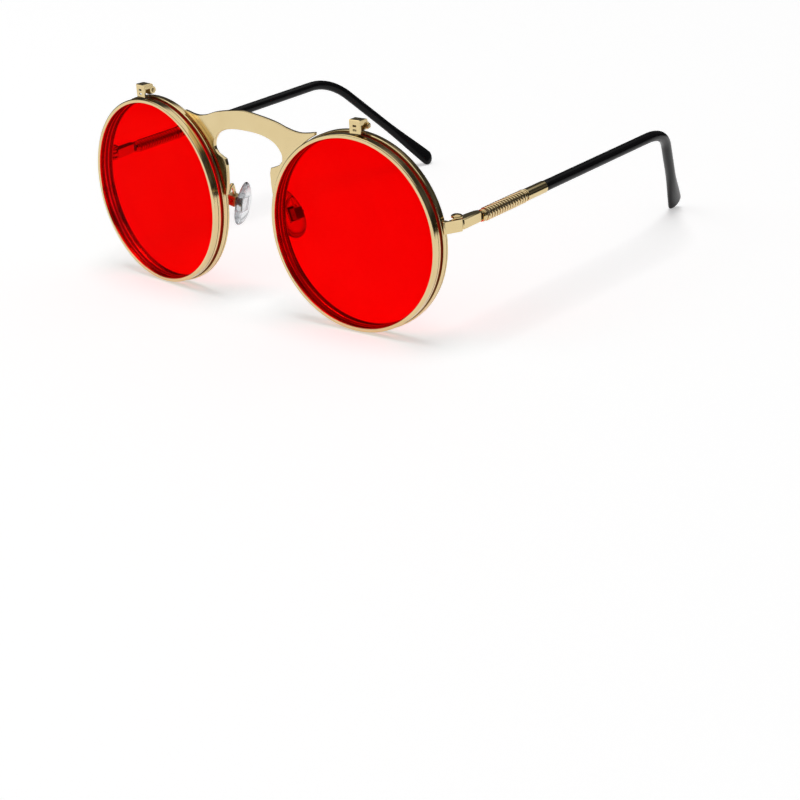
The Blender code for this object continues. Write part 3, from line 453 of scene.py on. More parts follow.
@dataclass(frozen=True)
class ClearSilicone(Finish):
    """Soft clear rubber: a little cloudy, with painted grey shade towards its border."""

    colour: Colour
    cloud_colour: Colour
    border_shade_colour: Colour
    border_span: Span = (0.62, 0.98)
    roughness: float = 0.08
    cloud_roughness: float = 0.12
    cloud_size: float = 2.5 * MM
    refraction: float = 1.38

    def shade(self, tree: ShaderTree) -> None:
        """Glass-like, with the gloss broken up a little.

        Args:
            tree: The material's empty tree.
        """
        place = tree.place()
        clouds = tree.noise(place, self.cloud_size)
        # Painted shade: greyer towards the pad's border.
        border = tree.ramped(tree.attribute(BORDER), self.border_span)
        clear_colour = tree.mixed_colour(clouds, self.colour, self.cloud_colour)
        solid = tree.add(
            "ShaderNodeBsdfPrincipled",
            {},
            {
                "Base Color": tree.mixed_colour(border, clear_colour, self.border_shade_colour),
                "Roughness": self.roughness + self.cloud_roughness * clouds,
                "IOR": self.refraction,
                "Transmission Weight": 1.0,
            },
        )
        tree.finish(tree.lit_through(solid, self.colour))


PALE_GOLD = PlatedMetal(
    "pale_gold_plating", Slot.PALE_GOLD, rgba(0.84, 0.68, 0.38), rgba(0.74, 0.57, 0.28), 0.09
)
PLATE_GOLD = PlatedMetal(
    "stamped_plate_gold", Slot.PALE_GOLD, rgba(0.82, 0.67, 0.38), rgba(0.74, 0.58, 0.3), 0.11, 0.06
)
# Painted shade: a dark gold for the fine line round each rim's wall.
GROOVE_SHADE_GOLD = PlatedMetal(
    "painted_groove_shade", Slot.PALE_GOLD, rgba(0.16, 0.09, 0.03), rgba(0.1, 0.05, 0.015), 0.35
)
SCREW_GOLD = PlatedMetal(
    "screw_gold_plating", Slot.SCREW_GOLD, rgba(0.72, 0.55, 0.28), rgba(0.6, 0.43, 0.2), 0.14
)
SPRING_GOLD = PlatedMetal(
    "spring_wire_gold", Slot.SPRING_GOLD, rgba(0.85, 0.7, 0.42), rgba(0.74, 0.57, 0.3), 0.11
)
SPRING_STEEL = PlatedMetal(
    "drawn_spring_steel", Slot.SPRING_STEEL, rgba(0.5, 0.48, 0.45), rgba(0.4, 0.38, 0.35), 0.28
)
# Painted shade: a dark gold, with a satin roughness, for the rims' faces in the gap between them.
GAP_SHADE_GOLD = PlatedMetal(
    "painted_gap_shade", Slot.PALE_GOLD, rgba(0.34, 0.21, 0.08), rgba(0.26, 0.15, 0.05), 0.42
)
# Painted shade: a dark gold for the hinge post, the hood's inside and the end pieces' front faces.
PAINTED_SHADE_GOLD = PlatedMetal(
    "painted_hinge_shade", Slot.PALE_GOLD, rgba(0.3, 0.19, 0.07), rgba(0.2, 0.12, 0.04), 0.3
)
BOX_GOLD = PlatedMetal(
    "drawn_box_gold", Slot.PALE_GOLD, rgba(0.56, 0.42, 0.22), rgba(0.42, 0.3, 0.14), 0.32
)
CORE_METAL = PlatedMetal(
    "dark_core_metal", Slot.PALE_GOLD, rgba(0.24, 0.23, 0.21), rgba(0.12, 0.11, 0.1), 0.25
)
RED_LENS = TintedLens(
    "red_lens_tint",
    Slot.RED_LENS,
    rgba(0.96, 0.0, 0.004),
    rgba(0.92, 0.0, 0.009),
    rgba(0.6, 0.0, 0.003),
)
BLACK_SLEEVE = SatinPlastic(
    "black_sleeve_satin", Slot.BLACK_SLEEVE, rgba(0.003, 0.003, 0.0035), rgba(0.007, 0.007, 0.008)
)
CLEAR_PAD = ClearSilicone(
    "clear_pad_silicone",
    Slot.CLEAR_SILICONE,
    rgba(0.9, 0.91, 0.92),
    rgba(0.78, 0.79, 0.81),
    rgba(0.4, 0.41, 0.43),
)


# Modelling by hand


def deselect() -> None:
    """Leaves nothing selected, in object mode."""
    if bpy.context.mode != "OBJECT":
        bpy.ops.object.mode_set(mode="OBJECT")
    bpy.ops.object.select_all(action="DESELECT")


def pick(obj: bpy.types.Object) -> None:
    """Makes one object the only selected and the active one.

    Args:
        obj: The object to work on.
    """
    deselect()
    obj.select_set(True)
    bpy.context.view_layer.objects.active = obj


def select_in(obj: bpy.types.Object, kind: str, wanted: Callable[[object], bool]) -> None:
    """Selects an object's vertices, edges or faces by a test, and enters edit mode.

    Args:
        obj: The mesh object.
        kind: VERT, EDGE or FACE.
        wanted: Says whether an element is selected.
    """
    pick(obj)
    bpy.ops.object.mode_set(mode="EDIT")
    bpy.ops.mesh.select_mode(type=kind)
    bpy.ops.mesh.select_all(action="DESELECT")
    bpy.ops.object.mode_set(mode="OBJECT")
    mesh = obj.data
    elements = {"VERT": mesh.vertices, "EDGE": mesh.edges, "FACE": mesh.polygons}[kind]
    for element in elements:
        element.select = wanted(element)
    bpy.ops.object.mode_set(mode="EDIT")


def close_up(obj: bpy.types.Object) -> bpy.types.Object:
    """Merges an object's doubles and turns its faces outward.

    Args:
        obj: The mesh object.

    Returns:
        The same object, in object mode.
    """
    pick(obj)
    bpy.ops.object.mode_set(mode="EDIT")
    bpy.ops.mesh.select_all(action="SELECT")
    bpy.ops.mesh.remove_doubles(threshold=WELD)
    bpy.ops.mesh.normals_make_consistent(inside=False)
    bpy.ops.object.mode_set(mode="OBJECT")
    return obj


def drawn_line(name: str, points: Sequence[Vector], closed: bool) -> bpy.types.Object:
    """A line of edges, extruded from its first point to its last.

    Args:
        name: The new object's name.
        points: Where the line goes.
        closed: True to join the last point to the first.

    Returns:
        The object, in object mode.
    """
    deselect()
    bpy.ops.mesh.primitive_plane_add(size=MM, location=points[0])
    obj = bpy.context.object
    obj.name = name
    bpy.ops.object.transform_apply(location=True, rotation=True, scale=True)
    bpy.ops.object.mode_set(mode="EDIT")
    bpy.ops.mesh.select_mode(type="VERT")
    bpy.ops.mesh.select_all(action="SELECT")
    bpy.ops.mesh.merge(type="CENTER")
    for before, after in zip(points, points[1:]):
        bpy.ops.mesh.extrude_region_move(TRANSFORM_OT_translate={"value": after - before})
    bpy.ops.object.mode_set(mode="OBJECT")
    if closed:
        last = len(obj.data.vertices) - 1
        select_in(obj, "VERT", lambda vert: vert.index in (0, last))
        bpy.ops.mesh.edge_face_add()
        bpy.ops.object.mode_set(mode="OBJECT")
    return obj


def turned(name: str, profile: Profile, steps: int, ring: bool = False) -> bpy.types.Object:
    """A profile of (radius, height) pairs, spun about Z.

    Args:
        name: The new object's name.
        profile: The section, from its top down its outer side.
        steps: How many facets go round.
        ring: True where the section is closed and stays off the axis.

    Returns:
        The turned object.
    """
    obj = drawn_line(name, [Vector((radius, 0, height)) for radius, height in profile], ring)
    bpy.ops.object.mode_set(mode="EDIT")
    bpy.ops.mesh.select_all(action="SELECT")
    bpy.ops.mesh.spin(steps=steps, angle=FULL, center=(0, 0, 0), axis=(0, 0, 1))
    bpy.ops.object.mode_set(mode="OBJECT")
    return close_up(obj)


def plate(name: str, outline: Sequence[Vector], thickness: float) -> bpy.types.Object:
    """A flat outline in XY, filled and extruded half its thickness each way.

    Args:
        name: The new object's name.
        outline: Its corners, in order.
        thickness: How thick it becomes.

    Returns:
        The plate, halfway above and below the XY plane.
    """
    low = Vector((0, 0, -thickness / 2))
    obj = drawn_line(name, [point.to_3d() + low for point in outline], True)
    bpy.ops.object.mode_set(mode="EDIT")
    bpy.ops.mesh.select_all(action="SELECT")
    bpy.ops.mesh.edge_face_add()
    bpy.ops.mesh.extrude_region_move(TRANSFORM_OT_translate={"value": (0, 0, thickness)})
    bpy.ops.object.mode_set(mode="OBJECT")
    return close_up(obj)


def wire(name: str, points: Sequence[Vector], radius: float, resolution: int) -> bpy.types.Object:
    """A round wire through the points, with closed ends, as a mesh.

    Args:
        name: The new object's name.
        points: Where the wire goes.
        radius: Half its thickness.
        resolution: How finely its section is divided.

    Returns:
        The wire.
    """
    curve = bpy.data.curves.new(name, "CURVE")
    curve.dimensions = "3D"
    curve.bevel_depth = radius
    curve.bevel_resolution = resolution
    curve.use_fill_caps = True
    spline = curve.splines.new("POLY")
    spline.points.add(len(points) - 1)
    for point, place in zip(spline.points, points):
        point.co = (*place, 1)
    obj = bpy.data.objects.new(name, curve)
    bpy.context.scene.collection.objects.link(obj)
    pick(obj)
    bpy.ops.object.convert(target="MESH")
    return close_up(bpy.context.object)


def bar(name: str, low: Sequence[float], high: Sequence[float]) -> bpy.types.Object:
    """A box between two corners, to cut with.

    Args:
        name: The new object's name.
        low: Its lowest corner.
        high: Its highest corner.

    Returns:
        The box.
    """
    low, high = Vector(low), Vector(high)
    deselect()
    bpy.ops.mesh.primitive_cube_add(size=1, location=(low + high) / 2, scale=high - low)
    obj = bpy.context.object
    obj.name = name
    bpy.ops.object.transform_apply(location=True, rotation=True, scale=True)
    return obj


def copied(name: str, node: bpy.types.Object) -> bpy.types.Object:
    """A CAD node's solid as a new object, with its seams merged and its flat faces whole.

    Args:
        name: The new object's name.
        node: The CAD node's object.

    Returns:
        The copy, with a mesh of its own.
    """
    mesh = node.data.copy()
    mesh.materials.clear()
    obj = bpy.data.objects.new(name, mesh)
    bpy.context.scene.collection.objects.link(obj)
    close_up(obj)
    bpy.ops.object.mode_set(mode="EDIT")
    bpy.ops.mesh.select_all(action="SELECT")
    bpy.ops.mesh.customdata_custom_splitnormals_clear()
    bpy.ops.mesh.dissolve_limited(angle_limit=SAME_FACE)
    bpy.ops.object.mode_set(mode="OBJECT")
    return obj


def modified(obj: bpy.types.Object, kind: str, **settings: object) -> bpy.types.Object:
    """Adds a modifier with its settings, and applies it.

    Args:
        obj: The mesh object.
        kind: The modifier's type.
        **settings: The modifier's own properties.

    Returns:
        The same object.
    """
    pick(obj)
    modifier = obj.modifiers.new(kind.lower(), kind)
    for name, value in settings.items():
        setattr(modifier, name, value)
    bpy.ops.object.modifier_apply(modifier=modifier.name)
    return obj


def rounded(
    obj: bpy.types.Object, width: float, segments: int = 2, angle: float = 40
) -> bpy.types.Object:
    """Rounds the edges that turn by more than that many degrees.

    Args:
        obj: The mesh object.
        width: How wide the rounding is.
        segments: How many facets it has.
        angle: The smallest turn of an edge that is rounded.

    Returns:
        The same object.
    """
    return modified(
        obj,
        "BEVEL",
        width=width,
        segments=segments,
        limit_method="ANGLE",
        angle_limit=math.radians(angle),
        use_clamp_overlap=True,
    )


def cut(obj: bpy.types.Object, tool: bpy.types.Object) -> bpy.types.Object:
    """Cuts one object with another, which is used up.

    Args:
        obj: What is cut.
        tool: What cuts it.

    Returns:
        What is left of the first object.
    """
    modified(obj, "BOOLEAN", operation="DIFFERENCE", solver="EXACT", object=tool)
    bpy.data.objects.remove(tool, do_unlink=True)
    return obj


def slotted(
    obj: bpy.types.Object, top: float, radius: float, width: float, depth: float
) -> bpy.types.Object:
    """Cuts a screwdriver's slot across the top of a head that stands along Z."""
    half, reach = width / 2, radius + OVERRUN
    return cut(obj, bar("slot", (-half, -reach, top - depth), (half, reach, top + OVERRUN)))


def placed(obj: bpy.types.Object, matrix: Matrix) -> bpy.types.Object:
    """Moves an object's mesh by a matrix. The object stays at the origin.

    Args:
        obj: The mesh object.
        matrix: Where its mesh goes.

    Returns:
        The same object.
    """
    obj.data.transform(matrix)
    obj.data.update()
    return close_up(obj) if matrix.determinant() < 0 else obj


def smooth_run(points: Sequence[Vector], steps: int, level_start: bool = False) -> list[Vector]:
    """Points on a Catmull-Rom curve through the given ones.

    Args:
        points: What the curve goes through.
        steps: How many steps it takes between each two.
        level_start: True where the curve starts at X = 0 and goes on mirrored before that.

    Returns:
        The curve's points.
    """
    before = OTHER_HALF.to_3x3() @ points[1].to_3d() if level_start else 2 * points[0] - points[1]
    ends = [before.resized(len(points[0])), *points, 2 * points[-1] - points[-2]]
    found = [points[0]]
    for a, b, c, d in zip(ends, ends[1:], ends[2:], ends[3:]):
        for i in range(1, steps + 1):
            t = i / steps
            bend = (2 * a - 5 * b + 4 * c - d) * t**2
            twist = (3 * b - a - 3 * c + d) * t**3
            found.append((2 * b + (c - a) * t + bend + twist) / 2)
    return found


def arc(centre: Span, radius: float, start: float, end: float, steps: int) -> list[Span]:
    """Points on an arc between two angles in degrees, in a section's plane.

    Args:
        centre: The arc's centre.
        radius: Its radius.
        start: The first angle.
        end: The last angle.
        steps: How many steps lie between them.

    Returns:
        The points, with both ends.
    """
    turns = [math.radians(start + (end - start) * i / steps) for i in range(steps + 1)]
    return [
        (centre[0] + radius * math.cos(turn), centre[1] + radius * math.sin(turn))
        for turn in turns
    ]


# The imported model's places


@dataclass(frozen=True)
class Places:
    """Where the frames of one half lie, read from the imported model."""

    side: Side
    front: Matrix
    flip: Matrix
    hinge: Matrix
    temple: Matrix
    pad: Matrix

    @classmethod
    def read(cls, frame: dict, side: Side, rim_depth: float) -> Places:
        """Works the frames out from the joints and from the fixed rim's box.

        Args:
            side: The half.
            rim_depth: The fixed rim's depth.

        Returns:
            The half's frames, for pieces modelled as the left one.
        """
        joints = {joint["name"]: joint for joint in frame["joints"]}
        mirror = OTHER_HALF if side.other else Matrix()

        def spot(kind: str) -> tuple[Vector, Vector]:
            """A joint's place and axis, mirrored to the left half.

            Args:
                kind: The joint's kind.

            Returns:
                Its place and its axis.
            """
            joint = joints[f"{kind}_{side.value}_hinge"]
            at = mirror @ Vector(joint["pos_m"])
            return at, (mirror.to_3x3() @ Vector(joint["axis"])).normalized()

        flip_at, flip_axis = spot("flip")
        outward = -flip_axis if flip_axis.x < 0 else flip_axis
        wrap = Matrix.Rotation(math.atan2(outward.y, outward.x), 4, "Z")
        low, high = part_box(f"rear_rim_{side.value}")
        middle = mirror @ ((low + high) / 2)
        lens_centre = middle - wrap.to_3x3() @ Vector((0, rim_depth / 2, 0))
        hinge_at, hinge_axis = spot("temple")
        upright = hinge_axis if hinge_axis.z > 0 else -hinge_axis
        lean = Matrix.Rotation(math.atan2(-upright.y, upright.z), 4, "X")
        pad_at, pad_axis = spot("pad")
        across = pad_axis if pad_axis.y > 0 else -pad_axis
        return cls(
            side,
            mirror @ Matrix.Translation(lens_centre) @ wrap,
            mirror @ Matrix.Translation(flip_at) @ wrap,
            mirror @ Matrix.Translation(hinge_at) @ lean,
            mirror @ Matrix.Translation(hinge_at),
            mirror @ Matrix.Translation(pad_at) @ cls._pad_turn(across, wrap),
        )

    @staticmethod
    def _pad_turn(across: Vector, wrap: Matrix) -> Matrix:
        """The pad's turn: X along its screw, Y towards the nose and Z up the pad.

        Args:
            across: The pad's screw axis.
            wrap: The half's turn about Z.

        Returns:
            The turn.
        """
        upward = wrap.to_3x3() @ Vector((-math.sin(PAD_LEAN), 0, math.cos(PAD_LEAN)))
        upward = (upward - across * upward.dot(across)).normalized()
        return Matrix((across, upward.cross(across), upward)).transposed().to_4x4()


class Workshop:
    """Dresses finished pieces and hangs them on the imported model."""

    def __init__(self, frame: dict) -> None:
        """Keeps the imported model's nodes."""
        self.nodes: dict[str, bpy.types.Object] = frame["nodes"]

    def eased(self, node: str, ending: str, radius: float) -> bpy.types.Object:
        """A CAD node's shape as a new piece, named with that ending, with its edges rounded."""
        return rounded(copied(f"{node}_{ending}", self.nodes[node]), radius)

    def dress(
        self,
        obj: bpy.types.Object,
        body: str,
        finish: Finish,
        *nodes: str,
        smooth_below: float = 35,
        accents: Sequence[tuple[Finish, FaceTest]] = (),
    ) -> bpy.types.Object:
        """Gives a piece its finish and shading, and makes it ride and stand for its nodes.

        Args:
            obj: The finished piece, in place.
            body: The CAD body that carries it.
            finish: What covers it.
            nodes: The CAD nodes that it stands for.
            smooth_below: Edges that turn by less than this many degrees are shaded smooth.
            accents: Other finishes, each with a test for the faces that it covers.

        Returns:
            The piece.
        """
        pick(obj)
        bpy.ops.object.shade_smooth_by_angle(angle=math.radians(smooth_below))
        modified(obj, "WEIGHTED_NORMAL", keep_sharp=True, weight=100)
        obj.data.materials.clear()
        obj.data.materials.append(finish.material())
        for number, (accent, covers) in enumerate(accents, start=1):
            obj.data.materials.append(accent.material())
            for face in obj.data.polygons:
                if covers(face):
                    face.material_index = number
        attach(obj, body)
        if nodes:
            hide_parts(*nodes)
        LOG.info("%s rides on %s and has %d faces", obj.name, body, len(obj.data.polygons))
        return obj

    def refinish(self, node: str, finish: Finish) -> None:
        """Gives a CAD node that stays as it is its finish.

        Args:
            node: The node's name.
            finish: What covers it.
        """
        obj = self.nodes[node]
        obj.data.materials.clear()
        obj.data.materials.append(finish.material())
        LOG.info("%s keeps its CAD shape", node)


# Sub-assemblies


@dataclass
class Eyepieces:
    """The fixed and the hinged rim of one half, each with its lens."""

    opening_radius: float = 25.0 * MM
    rim_gap: float = 0.8 * MM
    rear_wall: float = 1.4 * MM
    rear_depth: float = RIM_DEPTH
    flip_wall: float = 1.05 * MM
    flip_depth: float = 2.3 * MM
    edge_radius: float = 0.28 * MM
    edge_steps: int = 5
    soft_steps: int = 3
    line_share: float = 0.6
    line_width: float = 0.16 * MM
    line_depth: float = 0.14 * MM
    line_margin: float = 0.9
    lens_thickness: float = 1.0 * MM
    lens_edge: float = 0.5 * MM
    lens_bite: float = 0.35 * MM
    lens_bevel: float = 0.65 * MM
    lens_dome: float = 0.9 * MM
    lens_rings: int = 14
    steps: int = 144

    def rim_section(self, wall: float, depth: float) -> list[Span]:
        """A rim's section: rounded outer edges, a fine line round the wall and the lens's seat.

        Args:
            wall: How thick the rim is, outward from the opening.
            depth: How deep it is, from front to back.

        Returns:
            The section's (radius, height) pairs.
        """
        outer, inner, half = self.opening_radius + wall, self.opening_radius, depth / 2
        edge = self.edge_radius
        line = half - depth * self.line_share
        half_line = self.line_width / 2
        soft = self.edge_radius / 2
        lip = self.lens_thickness / 2
        lip -= (self.lens_thickness - self.lens_edge) * (1 - self.lens_bite / self.lens_bevel) / 2
        floor = self.lens_edge / 2 + GAP
        groove = inner + self.lens_bite + GAP
        return [
            *arc((outer - edge, half - edge), edge, 90, 0, self.edge_steps),
            (outer, line + half_line),
            (outer - self.line_depth, line),
            (outer, line - half_line),
            *arc((outer - edge, edge - half), edge, 0, -90, self.edge_steps),
            *arc((inner + soft, soft - half), soft, -90, -180, self.soft_steps),
            (inner, -lip - GAP),
            (groove, -floor),
            (groove, floor),
            (inner, lip + GAP),
            *arc((inner + soft, half - soft), soft, 180, 90, self.soft_steps),
        ]

    def lens_section(self) -> list[Span]:
        """A lens's section: domed forward, with a bevelled edge that enters the rim's seat.

        Returns:
            The section's (radius, height) pairs.
        """
        edge = self.opening_radius + self.lens_bite
        flat = edge - self.lens_bevel
        half, edge_half = self.lens_thickness / 2, self.lens_edge / 2
        shares = [i / self.lens_rings for i in range(self.lens_rings)]
        front = [(flat * share, half + self.lens_dome * (1 - share**2)) for share in shares]
        back = [(radius, height - self.lens_thickness) for radius, height in reversed(front)]
        return [*front, (flat, half), (edge, edge_half), (edge, -edge_half), (flat, -half), *back]

    def build(self, shop: Workshop, places: Places) -> None:
        """Models both rims and both lenses of one half.

        Args:
            shop: What dresses the pieces.
            places: The half's frames.
        """
        side = places.side.value
        rear = places.front @ Matrix.Translation((0, self.rear_depth / 2, 0)) @ FACE_FORWARD
        ahead = Matrix.Translation((0, -self.rim_gap - self.flip_depth / 2, 0))
        flip = places.front @ ahead @ FACE_FORWARD
        for body, kind, wall, depth, matrix in (
            ("frame", "rear", self.rear_wall, self.rear_depth, rear),
            (f"flip_{side}", "flip", self.flip_wall, self.flip_depth, flip),
        ):
            self._rim(shop, body, f"{kind}_rim_{side}", wall, depth, matrix)
            lens = turned(f"{kind}_lens_{side}_domed", self.lens_section(), self.steps)
            border = lens.data.attributes.new(BORDER, "FLOAT", "POINT")
            for vert in lens.data.vertices:
                border.data[vert.index].value = vert.co.to_2d().length / self.opening_radius
            placed(lens, matrix)
            shop.dress(lens, body, RED_LENS, f"{kind}_lens_{side}", smooth_below=30)

    def _rim(
        self, shop: Workshop, body: str, node: str, wall: float, depth: float, matrix: Matrix
    ) -> None:
        """Models one rim, with painted shade in the line round its wall and on its face in the gap.

        Args:
            shop: What dresses the pieces.
            body: The CAD body that carries the rim.
            node: The CAD node that it stands for.
            wall: How thick it is, outward from the opening.
            depth: How deep it is, from front to back.
            matrix: Where it goes.
        """
        rim = turned(f"{node}_turned", self.rim_section(wall, depth), self.steps, ring=True)
        deepest = self.opening_radius + wall - self.line_depth * self.line_margin
        centre_line = depth / 2 - depth * self.line_share
        in_line, in_gap = set(), set()
        for face in rim.data.polygons:
            outward = Vector(face.center[:2]).length > deepest
            if abs(face.center.z - centre_line) < self.line_width / 2 and outward:
                in_line.add(face.index)
            facing = -face.center.z if body != "frame" else face.center.z
            if facing > depth / 2 - WELD:
                in_gap.add(face.index)
        placed(rim, matrix)
        # Painted shade in the groove line and on the faces in the gap between the rims.
        accents = (
            (GROOVE_SHADE_GOLD, lambda face: face.index in in_line),
            (GAP_SHADE_GOLD, lambda face: face.index in in_gap),
        )
        shop.dress(rim, body, PALE_GOLD, node, accents=accents)


@dataclass
class BridgePlate:
    """The stamped plate that joins the fixed rims over the nose."""

    thickness: float = 1.0 * MM
    lens_centre_out: float = 36.5 * MM
    rim_radius: float = RIM_RADIUS
    rim_depth: float = RIM_DEPTH
    top_shares: Profile = (
        (0.000, 1.036),
        (0.150, 1.012),
        (0.300, 0.970),
        (0.400, 0.925),
        (0.490, 0.899),
        (0.560, 0.900),
        (0.658, 0.922),
    )
    arch_shares: Profile = (
        (0.000, 0.836),
        (0.100, 0.831),
        (0.205, 0.803),
        (0.288, 0.748),
        (0.337, 0.665),
        (0.343, 0.592),
        (0.315, 0.540),
    )
    hook_shares: Profile = ((0.275, 0.518), (0.233, 0.497))
    leg_shares: Profile = ((0.802, 0.440), (0.817, 0.290), (0.860, 0.180), (0.911, 0.110))
    curve_steps: int = 10
    rim_steps: int = 40
    edge_radius: float = 0.16 * MM
    edge_segments: int = 3
    edge_angle: float = 50
    bend_reach: float = 5.0 * MM
    bend_cuts: int = 8

    def outline(self) -> list[Vector]:
        """Half of the plate, from its top middle outward, down the rim and back inward.

        Returns:
            The outline's points, in the flat plate's plane.
        """

        def spots(shares: Profile, reach: float) -> list[Vector]:
            """Points by their shares of a reach outward and of the rim's radius upward."""
            return [Vector((reach * a, self.rim_radius * b)) for a, b in shares]

        top, arch = (
            smooth_run(spots(shares, self.lens_centre_out), self.curve_steps, level_start=True)
            for shares in (self.top_shares, self.arch_shares)
        )
        hook = spots(self.hook_shares, self.lens_centre_out)
        rim_out = self.lens_centre_out - self.rim_radius
        leg = smooth_run(spots(self.leg_shares, rim_out), self.curve_steps)
        radius = self.rim_radius + GAP
        first = math.acos((self.lens_centre_out - top[-1].x) / radius)
        last = math.asin(leg[-1].y / radius)
        turns = [first + (last - first) * i / self.rim_steps for i in range(self.rim_steps + 1)]
        along = [
            Vector((self.lens_centre_out - radius * math.cos(turn), radius * math.sin(turn)))
            for turn in turns
        ]
        return [*top, *along, *reversed([*arch, *hook, *leg])]

    def middle_y(self, front: Matrix) -> float:
        """Where the two halves' front planes meet, from front to back."""
        return front.translation.y - self.lens_centre_out * math.sin(front.to_euler().z)

    def build(self, shop: Workshop, places: Places) -> None:
        """Models one half flat, mirrors it, and bends the plate softly at its middle.

        Args:
            shop: What dresses the pieces.
            places: The left half's frames.
        """
        obj = plate("bridge_plate_stamped", self.outline(), self.thickness)
        select_in(obj, "FACE", lambda face: abs(face.center.x) < WELD)
        bpy.ops.mesh.delete(type="ONLY_FACE")
        bpy.ops.object.mode_set(mode="OBJECT")
        obj.data.transform(FACE_FORWARD)
        modified(
            obj,
            "MIRROR",
            use_axis=(True, False, False),
            use_bisect_axis=(True, False, False),
            bisect_threshold=WELD,
            merge_threshold=WELD,
        )
        self._cut_across(obj)
        rounded(close_up(obj), self.edge_radius, self.edge_segments, self.edge_angle)
        self._bend(obj, places.front)
        shop.dress(obj, "frame", PLATE_GOLD, "bridge_plate", smooth_below=40)

    def _cut_across(self, obj: bpy.types.Object) -> None:
        """Adds edges across the plate where it bends.

        Args:
            obj: The flat plate.
        """
        for i in range(self.bend_cuts + 1):
            out = self.bend_reach * (2 * i / self.bend_cuts - 1)
            pick(obj)
            bpy.ops.object.mode_set(mode="EDIT")
            bpy.ops.mesh.select_all(action="SELECT")
            bpy.ops.mesh.bisect(plane_co=(out, 0, 0), plane_no=(1, 0, 0))
            bpy.ops.object.mode_set(mode="OBJECT")

    def _bend(self, obj: bpy.types.Object, front: Matrix) -> None:
        """Lays the flat plate on both halves' front planes, with a round bend between them.

        Args:
            obj: The flat plate.
            front: The left half's front frame.
        """
        wrap = front.to_euler().z
        start_y, lens_z = self.middle_y(front), front.translation.z
        for vert in obj.data.vertices:
            u, v, z = vert.co
            v += self.rim_depth / 2
            share = min(abs(u) / self.bend_reach, 1)
            turn = math.copysign(wrap * share, u)
            rise = math.sin(wrap) * max(abs(u) - self.bend_reach, 0)
            rise += math.sin(wrap) * self.bend_reach * (share**2 + 1) / 2
            run = math.cos(wrap) * u
            back = start_y + rise
            vert.co = (run - v * math.sin(turn), back + v * math.cos(turn), z + lens_z)
        obj.data.update()


